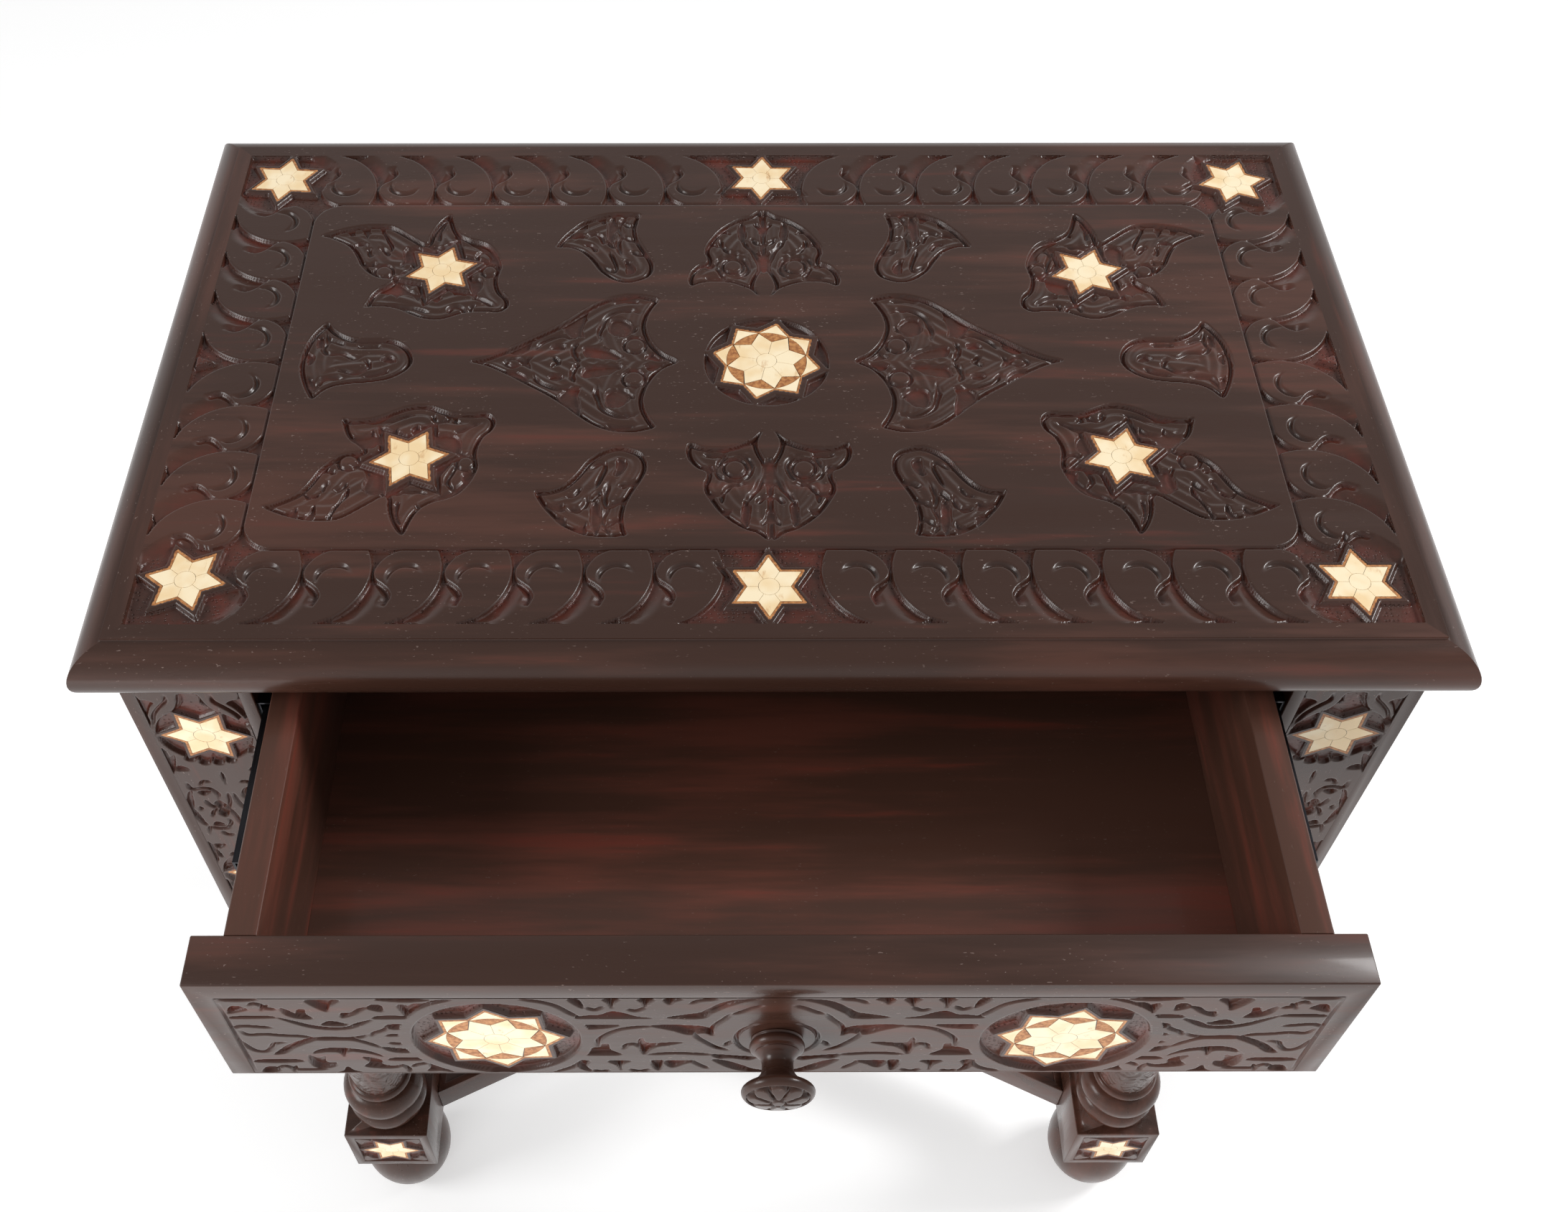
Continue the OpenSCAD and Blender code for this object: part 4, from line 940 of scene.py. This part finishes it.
# %% Hollows and cuts of the left part of the drawer front, upright in z
END_HOLLOWS = [
    [(-217, 770), (-213, 772), (-204, 772), (-201, 770.5), (-206, 765), (-209.5, 759)],
    [(-186, 772), (-175, 772.5), (-160, 772), (-164, 770), (-174, 769.5)],
    [(-150, 772), (-158, 771), (-163, 768), (-170, 766), (-173.5, 752), (-167, 760),
     (-160, 766), (-152, 770)],
    [(-255, 757), (-253, 764), (-249, 765.5), (-245, 761.5), (-248, 759.5)],
    [(-255, 751.5), (-253, 754), (-238, 754.5), (-234, 752), (-245, 751.5)],
    [(-234, 753), (-228, 747), (-221, 741.5), (-212, 738.5), (-203, 739),
     (-196, 743), (-189, 750), (-197, 746.5), (-203, 742), (-211, 741.5),
     (-219, 744), (-226, 748.5)],
    [(-214, 744), (-211, 748), (-207, 748), (-203, 745.5), (-201, 746), (-204, 743)],
    [(-230, 763), (-229, 756), (-224, 751.5), (-217, 751), (-219, 756), (-219, 761.5),
     (-222.5, 761), (-224, 757), (-227, 761)],
    [(-203, 752), (-197, 755), (-192, 760), (-189, 763.5), (-194, 762.5), (-198, 758),
     (-203, 757)],
    [(-190, 763), (-187, 766.5), (-183, 765.5), (-183, 759), (-187, 760)],
    [(-175.5, 766), (-170.5, 765), (-171, 757), (-173, 753), (-174.5, 759)],
    [(-189, 751), (-186, 754), (-174, 754), (-171, 751.5), (-180, 750.5)],
    [(-185, 741), (-182, 744.5), (-170, 744.5), (-172, 740), (-180, 738.5)],
    [(-190, 718), (-184, 711.5), (-167, 711.5), (-165, 716), (-173, 715.5),
     (-182, 716.5)],
    [(-243.5, 709.5), (-238, 710.5), (-232, 717), (-226, 722), (-219, 727.5),
     (-227, 726.5), (-235, 720.5), (-241, 713.5)],
    [(-255, 700), (-252, 703), (-236, 703.5), (-231, 700.5), (-243, 699)],
    [(-254, 687.5), (-251, 693.5), (-246, 694), (-244.5, 690), (-247, 687.5)],
    [(-227.5, 708), (-228, 697), (-224, 691.5), (-217, 694), (-215.5, 699), (-220, 700),
     (-219.5, 707), (-223, 705)],
    [(-224.5, 710.5), (-221, 715), (-213, 717.5), (-204, 716), (-197, 713),
     (-190.5, 706), (-197, 710), (-204, 712.5), (-208, 711.5), (-210, 706.5),
     (-212, 711.5), (-218, 712)],
    [(-201.5, 706), (-196, 704.5), (-192.5, 701), (-193, 697), (-188, 695),
     (-182.5, 697), (-186, 692.5), (-195, 692), (-202, 694.5), (-199, 700)],
    [(-189, 702), (-186, 705), (-172, 705), (-171.5, 702), (-180, 701.5)],
    [(-211, 694), (-213.5, 689), (-216, 687.2), (-205, 687.2), (-208.5, 689.5)],
    [(-171, 701), (-170, 693), (-172, 688.5), (-165, 688.5), (-159, 687.2),
     (-164, 692), (-168, 698)]]
END_CUTS = [
    [(-256, 772), (-247, 771.5), (-238, 772.5)],
    [(-244, 766), (-240.5, 768), (-237.5, 765), (-239, 760)],
    [(-235, 766), (-237, 763), (-232, 761.5)],
    [(-193, 731), (-191, 734.5), (-186, 738), (-184, 741)],
    [(-226, 727), (-215, 729), (-205, 728.5), (-198, 730), (-194, 733)],
    [(-222, 727), (-212, 727.5), (-203, 727), (-197, 723.5), (-190, 717)],
    [(-186, 731.5), (-181, 732), (-174, 731)], [(-186, 723), (-181, 722), (-174, 723)],
    [(-257, 740), (-252, 743), (-244, 742), (-238, 741)],
    [(-254, 738), (-251, 733), (-243, 733.5), (-235, 732), (-226, 731), (-220, 728)],
    [(-257, 727), (-254.5, 719), (-251.5, 714), (-247, 713), (-243.5, 717),
     (-241, 722), (-235, 724)],
    [(-246, 692), (-241.5, 695), (-238, 692), (-238, 687.5)],
    [(-236, 695), (-236.5, 691), (-229, 690.5), (-221, 691)],
    [(-183, 696), (-181, 691), (-181, 687.5)], [(-179, 694), (-175, 697), (-171, 698)]]

# %% Hollows and cuts between the star and the knob
MIDDLE_HOLLOWS = [
    [(-97, 772), (-92, 772), (-90, 762), (-94, 766)],
    [(-81, 772), (-73, 772), (-76, 767), (-77, 761), (-79, 768)],
    [(-65, 772), (-57, 772), (-60, 767), (-62, 763), (-63, 768)],
    [(-53, 772), (-44, 772), (-48, 769), (-50.5, 766)],
    [(-96, 751), (-90, 754), (-83, 755), (-78, 758.5), (-73, 757.5), (-66, 753),
     (-59, 751), (-75, 750.5)],
    [(-52, 751.5), (-42, 755.5), (-37, 757), (-33, 761), (-27, 767.5), (-20, 771),
     (-7, 772), (-16, 768.5), (-24, 763), (-31, 756), (-36, 750.5)],
    [(-98, 743.5), (-75, 743.5), (-80, 740), (-90, 738.5), (-98, 740)],
    [(-60, 742.5), (-48, 743.5), (-36, 742), (-31, 738), (-30.5, 731), (-35, 734),
     (-42, 732), (-50, 737)],
    [(-66.5, 724), (-64.5, 728.5), (-63, 723.5), (-59, 722), (-52, 723), (-45, 723),
     (-52, 719.5), (-57, 718), (-61, 714), (-64, 708.5), (-66, 715)],
    [(-101, 709), (-92, 714.5), (-88, 717), (-85, 717), (-84, 721), (-81, 721),
     (-80, 714), (-75, 708), (-90, 707.5)],
    [(-31, 708.5), (-20, 707), (-9.5, 705), (-13, 701.5), (-22, 704), (-28, 703.5)],
    [(-31, 702), (-24, 700.5), (-17, 695.5), (-11, 690.5), (-3, 687.5), (-14, 687.2),
     (-23, 692)],
    [(-98, 700.5), (-91, 700.5), (-93, 694), (-90.5, 687.5), (-96, 691)],
    [(-82, 700.5), (-71, 700.5), (-75, 696), (-76, 688.5), (-78, 695)],
    [(-61, 700.5), (-55, 700.5), (-57, 689), (-60, 692)],
    [(-54, 700.5), (-39, 700.5), (-44, 697), (-51, 692)]]
MIDDLE_CUTS = [
    [(-119, 772), (-110, 769.5), (-103, 765), (-97, 757), (-92.5, 751.5)],
    [(-89, 763), (-85, 760.5), (-81, 764)], [(-70, 761), (-66, 759.5), (-61.5, 763)],
    [(-41, 767), (-36, 770.5), (-28, 772)],
    [(-85.5, 716), (-85.5, 725), (-81, 732.5), (-74, 738.5), (-66, 741), (-58, 742)],
    [(-40, 735), (-38, 729), (-34, 723), (-29, 717), (-23, 713.5)],
    [(-32, 732), (-30, 742), (-25, 750), (-22, 756)],
    [(-21, 755.5), (-17, 758), (-12, 762), (-7, 764.5)],
    [(-25, 719), (-22.5, 723), (-18, 725.5)],
    [(-74, 715), (-72, 720), (-68, 721), (-65.5, 717)],
    [(-62, 708.5), (-48, 710), (-31, 708)], [(-41, 700), (-37, 695), (-33, 691)],
    [(-90, 689), (-86, 687.3), (-82, 689)], [(-72, 690), (-67, 687.5), (-62, 690)],
    [(-111, 687.5), (-104, 690), (-99, 694), (-96, 700)]]

# %% Cutting the drawer front
front_low, front_high = box_mm("drawer_front")
KNOB_UP = 42.2        # the middle of knob and stars over the lower edge
FRONT_MID = front_low.z + KNOB_UP
FRONT_STARS, FRONT_STAR_OUT = [(-133.9, 4), (137.5, -7)], 33.2
KNOB_SEAT = 18.2


def carve_drawer(sheet):
    whole_x, whole_y = sheet.x, sheet.y
    sheet.x, sheet.y = -np.abs(whole_x), whole_y + FRONT_MID
    for points in END_CUTS + MIDDLE_CUTS:
        sheet.vein(points, 2.3, 3.0)
    for points in END_HOLLOWS + MIDDLE_HOLLOWS:
        sheet.pocket(points, 2.7, 0.8)
    sheet.vein([(-257, 690), (-257, 730), (-257, 768)], 1.8, 2.2)
    sheet.x, sheet.y = whole_x, whole_y
    for across, turn in FRONT_STARS:
        r = np.hypot(sheet.x - across, sheet.y)
        near = r < 46.5
        strap = soft((r - 39.5) / 0.9) * near
        sheet.height = np.where(near, -2.85 * (1 - strap), sheet.height)
        sheet.sunk = np.where(near, 1 - strap, sheet.sunk)
        sheet.punched = np.where(near, soft(38.6 - r), sheet.punched)
        sheet.star((across, 0, FRONT_STAR_OUT, 8, turn), 1.5, 1.6, SHY)
    r = np.hypot(sheet.x, sheet.y)
    crescent = soft((r - KNOB_SEAT) / 0.8) * soft((20.8 - r) / 0.9)
    crescent = crescent * soft(1.6 * np.abs(sheet.x) / np.maximum(r, 1) - 0.5)
    sheet.height = np.where(r < 22, -2.3 * crescent, sheet.height)
    sheet.height = np.where(r < KNOB_SEAT, SHY, sheet.height)
    sheet.sunk = np.where(r < 22, crescent, sheet.sunk)


FRONT_HALF = front_high.x - 12
FRONT_TOP = front_high.z - 14 - FRONT_MID
FRONT_LOW = front_low.z + 2 - FRONT_MID
FRONT_SPACING = 0.6
INSET_T = 3.0
on_drawer = upright(0, front_low.y, FRONT_MID)
for name, x0, x1 in (("left", -FRONT_HALF, 0), ("right", 0, FRONT_HALF)):
    carved_block(f"drawer_carving_{name}", "drawer", (x0, x1, FRONT_LOW, FRONT_TOP),
                 FRONT_SPACING, INSET_T, carve_drawer, on_drawer, carved["x"])
print("carved field of the drawer:", round(2 * FRONT_HALF), "x",
      round(FRONT_TOP - FRONT_LOW))

# %% [markdown]
# ## The carved legs
#
# The square heads of the front legs hold two stars in round punched grounds,
# with ogee straps above and curling leaves between them, and the blocks near
# the floor hold one star each in a punched square. The same sheet and cuts
# serve, set out about each leg's own middle line.

# %% Cuts of a leg's head, right half, heights about the upper star
HEAD_CUTS = [
    [(12, 38), (12.5, 32), (17, 26.5), (22, 19), (25, 8)],
    [(27, 38), (26.5, 26), (26.3, 8)],
    [(5, 38), (6, 31), (9, 24), (13, 21)],
    [(26.4, -12), (25.5, -20), (26.4, -34)],
    [(25, -35), (21, -31), (17, -35)],
    [(8, -46.5), (12, -46), (15, -50)],
    [(22, -47), (20.5, -54), (15, -53), (10, -54), (7, -60), (8, -65)],
    [(21, -56), (24, -62), (26.3, -72)],
    [(16, -66), (14.5, -71), (11, -75)],
    [(21, -73), (19, -79), (17, -82)],
    [(1.5, -58), (2.5, -68), (5, -75), (9, -80)],
    [(-1.5, -70), (-4, -75)]]
HEAD_HOLLOWS = [
    [(26.5, 33), (19, 31), (22, 26), (26, 18)],
    [(-5, 38.5), (5, 38.5), (5, 30), (9, 23), (4, 19.5), (-4, 19.5), (-9, 23),
     (-5, 30)],
    [(21, -19), (26.4, -25), (26.4, -38), (23, -30)],
    [(24, -34), (20, -30), (16, -34), (21, -35.5)],
    [(-2, -33), (1, -39), (0.5, -47), (-1.5, -54), (-4, -46), (-4, -39)],
    [(22, -58), (26.3, -66), (26.3, -78), (23, -70)],
    [(10, -57), (14, -55.5), (18, -57), (15, -61)],
    [(8, -66), (12, -70), (9, -76), (5, -72)]]
SCALLOPS = [(-6, -25.5), (1.5, -25.5), (8.5, -23.5), (-13, -22), (21.5, -13),
            (23.5, 12)]
LEG_X, LEG_Y = 301.3, 164.3
CASE_Z = 539          # underside of the case and of the square heads
BLOCK_Z, BLOCK_H = 75, 67.5
RINGS_H = 56.5        # the turned rings at each end of a shaft
STAR_HIGH, STAR_LOW = 740.5, 590.0
HALVES = ((1, STAR_HIGH), (-1, STAR_LOW))     # the lower half hangs upside down
LEG_STAR_OUT = 23.2
LEG_FACE = box_mm("leg_front_left")[0].y


def leg_head_carving(turn):
    def carve(sheet):
        whole_x, whole_y = sheet.x, sheet.y
        sheet.x = np.abs(whole_x)
        for flip, middle in HALVES:
            sheet.y = (whole_y - middle) * flip
            far = sheet.y < -(STAR_HIGH - STAR_LOW) / 2
            kept = [s.copy() for s in (sheet.height, sheet.sunk, sheet.punched)]
            for points in HEAD_CUTS:
                sheet.vein(points, 2.3, 3.2)
            for points in HEAD_HOLLOWS:
                sheet.pocket(points, 2.6, 0.8, 1.0)
            for own, old in zip((sheet.height, sheet.sunk, sheet.punched), kept):
                own[far] = old[far]
        sheet.x, sheet.y = whole_x, whole_y
        for flip, middle in HALVES:
            r = np.hypot(sheet.x, sheet.y - middle)
            dish = soft((25.4 - r) / 0.9)
            for across, up in SCALLOPS:
                bite = np.hypot(sheet.x - across, (sheet.y - middle) * flip - up)
                dish = np.maximum(dish, soft((3.6 - bite) / 0.9))
            sheet.height = np.minimum(sheet.height, -2.7 * dish)
            sheet.sunk = np.maximum(sheet.sunk, dish)
            sheet.punched = np.maximum(sheet.punched, soft(24.8 - r))
            sheet.star((0, middle, LEG_STAR_OUT, 6, turn), 1.5, 1.0, SHY)
        sheet.height *= soft((27.2 - np.abs(sheet.x)) / 0.6)
    return carve


def leg_block_carving(turn):
    def carve(sheet):
        ax, ay = np.abs(sheet.x), np.abs(sheet.y)
        rim = soft((np.minimum(27 - ax, 26.2 - ay)) / 1.2)
        sheet.height = -2.5 * rim
        sheet.sunk = rim.copy()
        sheet.punched = soft((rim - 0.9) / 0.1)
        for sx in (-1, 1):
            for sy in (-1, 1):
                leaf = [(sx * 26, sy * 25), (sx * 17, sy * 24), (sx * 14, sy * 21),
                        (sx * 19, sy * 19), (sx * 22, sy * 14), (sx * 25, sy * 16)]
                d = depth_inside(sheet.x, sheet.y, curve_through(leaf, True))
                leafy = soft((d + 1.0) / 1.4)
                for cut in (sheet.height, sheet.sunk, sheet.punched):
                    cut *= 1 - 0.9 * leafy
        sheet.star((0, 0, LEG_STAR_OUT, 6, turn), 1.5, 1.6, SHY)
    return carve


# %% Setting the carvings into the front legs
LEG_MARGIN, LEG_HALF = 7.5, 26.5
HEAD_TOP, HEAD_LOW = SLAB_Z - LEG_MARGIN, CASE_Z + LEG_MARGIN
BLOCK_MID = BLOCK_Z + BLOCK_H / 2
BLOCK_HALF = BLOCK_H / 2 - LEG_MARGIN
for side, sign, turn in (("left", -1, -2), ("right", 1, 2)):
    for part, low, high, carve, middle in (
            ("leg", HEAD_LOW, HEAD_TOP, leg_head_carving(turn), 0),
            ("block", -BLOCK_HALF, BLOCK_HALF, leg_block_carving(turn), BLOCK_MID)):
        carved_block(f"{part}_carving_{side}", "table",
                     (-LEG_HALF, LEG_HALF, low, high), FRONT_SPACING, INSET_T,
                     carve, upright(sign * LEG_X, LEG_FACE, middle), carved["z"])
print("leg carvings set at x =", LEG_X, "and y =", round(LEG_FACE, 1))

# %% [markdown]
# ## The carved front panel
#
# Under the drawer the case is closed by a carved panel. It is cut like the
# drawer front, with one run of the same scrolls as the top above and below
# a plain strap, so that it belongs with the rest.

# %% Cutting the front panel
apron_low, apron_high = box_mm("front_apron")
APRON_MARGIN, INNER_FACE = 12, 267.3     # the second is a leg's
APRON_HALF = INNER_FACE - APRON_MARGIN
APRON_LOW, APRON_TOP = CASE_Z + APRON_MARGIN, apron_high.z - APRON_MARGIN
APRON_MID = (APRON_LOW + APRON_TOP) / 2
APRON_HEADS = [20 + 35.9 * k for k in range(7)]
NO_CORNER = 290.0     # past the panel's end, as it has no corner stars


def carve_apron(sheet):
    a = np.abs(sheet.x)
    half = (APRON_TOP - APRON_LOW) / 2
    t = half - np.abs(sheet.y) - 1
    band = t < BAND
    cut, ground = run_of_scrolls(a[band], t[band], APRON_HEADS, NO_CORNER)
    sheet.height[band] = -2.4 * cut
    sheet.sunk[band] = ground
    sheet.punched[band] = soft((ground - 0.93) / 0.06)
    edges = soft(t / 0.9) * soft((BAND - t) / 0.9) * soft((APRON_HALF - a) / 0.9)
    sheet.height *= edges
    sheet.sunk *= edges


carved_block("apron_carving", "table",
             (-APRON_HALF, APRON_HALF, APRON_LOW - APRON_MID, APRON_TOP - APRON_MID),
             2 * FRONT_SPACING - 0.2, INSET_T, carve_apron,
             upright(0, apron_low.y, APRON_MID), carved["x"])
print("front panel carved from", round(APRON_LOW), "to", round(APRON_TOP))

# %% [markdown]
# ## The knob
#
# The knob is turned with a collar, a hollow neck and a round head, and a
# flower of eight petals is carved on the head. It is spun from its outline,
# and then the points of the head are pushed in by a formula that draws the
# petals, so the flower and the turning are one piece.

# %% Turning the knob and carving its flower
KNOB_R, KNOB_LONG = 17.5, 32
FLOWER_R, FLOWER_Z = 15.5, 27.5
KNOB_OUTLINE = [
    (0, 0), (11.6, 0), (11.75, 1.5), (12.6, 2.1), (13.2, 3.4), (13.2, 4.6), (12.6, 5.9),
    (10.75, 6.6), (10.75, 7.3), (9.75, 8.5), (8.7, 9.6), (7.9, 11), (7.5, 12.6),
    (7.5, 14), (7.7, 16), (8.4, 18), (10, 20), (12.2, 21.8), (14.6, 23.1),
    (16.4, 24.2), (17.3, 25.3), (17.5, 26.4), (17.1, 27.8), (15.9, 29),
    (14.2, 29.7), (11.5, 30.5), (8.5, 31.2), (5, 31.75), (2, 31.97), (0, 32)]


def turned(name, body, outline, place, finish, steps, shape):
    bm = bmesh.new()
    row = [bm.verts.new((r, 0, z)) for r, z in outline]
    chain = [bm.edges.new(pair) for pair in zip(row, row[1:])]
    bmesh.ops.spin(bm, geom=row + chain, cent=(0, 0, 0), axis=(0, 0, 1),
                   angle=2 * math.pi, steps=steps, use_merge=True)
    bmesh.ops.remove_doubles(bm, verts=bm.verts, dist=1e-4)
    bmesh.ops.recalc_face_normals(bm, faces=bm.faces)
    for vert in bm.verts:
        vert.co = shape(vert.co.copy())
    bm.transform(IN_FRAME @ place)
    return add_piece(mesh_from(name, bm), body, finish)


def ramp(value):
    return max(0.0, min(1.0, value))


def knob_flower(spot):
    r = math.hypot(spot.x, spot.y)
    if spot.z < FLOWER_Z or r > FLOWER_R:
        return spot
    angle = math.atan2(spot.y, spot.x)
    petal = abs(math.cos(4 * angle))
    reach = 9.0 + 5.2 * petal ** 0.6
    gap = ramp((r - reach) / 1.2)
    crease = ramp(1 - petal * r / 4.0) * ramp((r - 3) / 2)
    ring = ramp(1 - abs(r - 3.4) / 0.8)
    rim = ramp((FLOWER_R - r) / 0.8)
    spot.z -= 2.1 * rim * max(gap, crease, 0.8 * ring)
    return spot


fine_outline = curve_through(KNOB_OUTLINE, steps=4)
fine_outline[:, 0] = np.clip(fine_outline[:, 0], 0, KNOB_R)
knob = turned("knob_turned", "drawer", [tuple(p) for p in fine_outline], on_drawer,
              carved["x"], 128, knob_flower)
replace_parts(knob, "knob")
print("knob reaches", round(front_low.y - KNOB_LONG, 1), "of",
      round(box_mm("knob")[0].y, 1))

# %% [markdown]
# ## Leaves on the turned shafts
#
# The shafts of the legs are carved with upright leaves in rows. A thin
# sleeve is spun just outside each shaft, and its points are pushed in along
# each leaf's outline, its midrib and its side veins.

# %% Carved sleeves
SHAFT_LOW = BLOCK_Z + BLOCK_H + RINGS_H
SHAFT_LONG = CASE_Z - RINGS_H - SHAFT_LOW
LEAF_H, LEAVES_ROUND = 34.0, 6
SLEEVE_ROWS = 200


def shaft_leaves(spot):
    r = math.hypot(spot.x, spot.y)
    if r < 20:
        return spot
    angle = math.atan2(spot.y, spot.x)
    row = math.floor(spot.z / LEAF_H)
    level = spot.z / LEAF_H - row
    turn = (angle / (2 * math.pi) * LEAVES_ROUND + 0.5 * (row % 2)) % 1.0 - 0.5
    side = abs(turn) * 2
    edge = math.sin(math.pi * min(1.0, level * 0.92 + 0.08)) ** 0.6 * 0.92
    outline = ramp(1 - abs(side - edge) / 0.16)
    rib = ramp(1 - side / 0.09) * 0.7
    vein = 0.5 * ramp(1 - abs(((level + side * 0.35) * 5) % 1 - 0.5) / 0.3)
    depth = max(outline, rib, vein if side < edge else 0.0)
    ends = ramp(min(spot.z, SHAFT_LONG - spot.z) / 4)
    scale = 1 - 1.1 * depth * ends / r
    spot.x, spot.y = spot.x * scale, spot.y * scale
    return spot


SLEEVE_END_R = 21.4
sleeve = [(SLEEVE_END_R, 0)]
for k in range(SLEEVE_ROWS + 1):
    share = k / SLEEVE_ROWS
    lip = min(1.0, 14 * share, 14 * (1 - share))
    sleeve.append((21.6 + 0.9 * lip + math.sin(math.pi * share), share * SHAFT_LONG))
sleeve.append((SLEEVE_END_R, SHAFT_LONG))
for sx in (-1, 1):
    for sy in (-1, 1):
        side = "left" if sx < 0 else "right"
        end = "front" if sy < 0 else "back"
        spot = Matrix.Translation((sx * LEG_X, sy * LEG_Y, SHAFT_LOW))
        turned(f"shaft_leaves_{end}_{side}", "table", sleeve, spot, carved["z"],
               96, shaft_leaves)
print("four sleeves of", SLEEVE_ROWS, "rows")

# %% [markdown]
# ## Floor, light and camera
#
# The floor is one wide pale sheet. It carries the shadow, and a little of
# its own light keeps it nearly white. The light is a pale room with a soft
# darker ceiling and three lamps: a low one before the table, a smaller one
# over its right shoulder for crisp edges, and one to the left.

# %% Floor
bm = bmesh.new()
bmesh.ops.create_grid(bm, x_segments=1, y_segments=1, size=30)
floor = new_object("floor", mesh_from("floor", bm, False))
floor_finish = Finish("floor_white")
seen = [floor_finish.add("ShaderNodeLightPath", output=key) for key in
        ("Is Camera Ray", "Is Glossy Ray", "Is Transmission Ray")]
shown = (seen[0] + seen[1] + seen[2]).between(0.0, 0.5, 0.0, 0.32)
floor_finish.set(Base_Color=paint(238, 238, 238), Roughness=0.9,
                 Emission_Color=shown, Emission_Strength=1.0)
floor.data.materials.append(floor_finish.material)

# %% Room light
world = bpy.data.worlds.new("studio")
bpy.context.scene.world = world
world.use_nodes = True
room = Net(world.node_tree)
way = room.add("ShaderNodeTexCoord", output="Generated")
rise = room.add("ShaderNodeSeparateXYZ", {}, {0: way}, "Z")
ceiling = rise.between(0.1, 0.8, 0.9, 0.42)
straight = room.add("ShaderNodeLightPath", output="Is Camera Ray")
strength = room.add("ShaderNodeMix", {"data_type": "FLOAT"},
                    {0: straight, 2: ceiling, 3: 1.0})
backdrop = room.tree.nodes["Background"].inputs
room.put(backdrop["Strength"], strength)
room.put(backdrop["Color"], (1, 1, 1, 1))


# %% Lamps
def lamp(name, place, aim, size, power):
    data = bpy.data.lights.new(name, "AREA")
    data.shape = "RECTANGLE"
    data.size, data.size_y = size
    data.energy = power
    light = new_object(name, data)
    light.location = place
    ray = Vector(aim) - Vector(place)
    light.rotation_euler = ray.to_track_quat("-Z", "Y").to_euler()
    return light


front_lamp = lamp("lamp_front", (-1.3, -2.2, 0.45), (-0.1, -0.2, 0.6),
                  (1.6, 0.7), 33)
front_lamp.visible_glossy = False     # or it shows as a glare on the side panel
lamp("lamp_right", (2.0, 0.4, 2.2), (0, 0.1, 0.7), (0.7, 0.7), 36)
lamp("lamp_left", (-2.2, -0.6, 1.9), (0, 0.1, 0.7), (1.0, 1.0), 27)

# %% Camera
scene = bpy.context.scene
eye = bpy.data.cameras.new("camera")
eye.sensor_width = 36.0
eye.lens = 37.508
eye.shift_x = 0.04137
camera = new_object("camera", eye)
camera.location = (-0.0286, -0.6769 + SHIFT, 1.47055)
turn_side = Matrix.Rotation(math.radians(-0.1526), 4, "Z")
turn_down = Matrix.Rotation(math.radians(90 - 52.2312), 4, "X")
roll = Matrix.Rotation(math.radians(0.0428), 4, "Z")
camera.rotation_euler = (turn_side @ turn_down @ roll).to_euler()
scene.camera = camera
scene.view_settings.view_transform = "Standard"
print("camera at", [round(v, 3) for v in camera.location])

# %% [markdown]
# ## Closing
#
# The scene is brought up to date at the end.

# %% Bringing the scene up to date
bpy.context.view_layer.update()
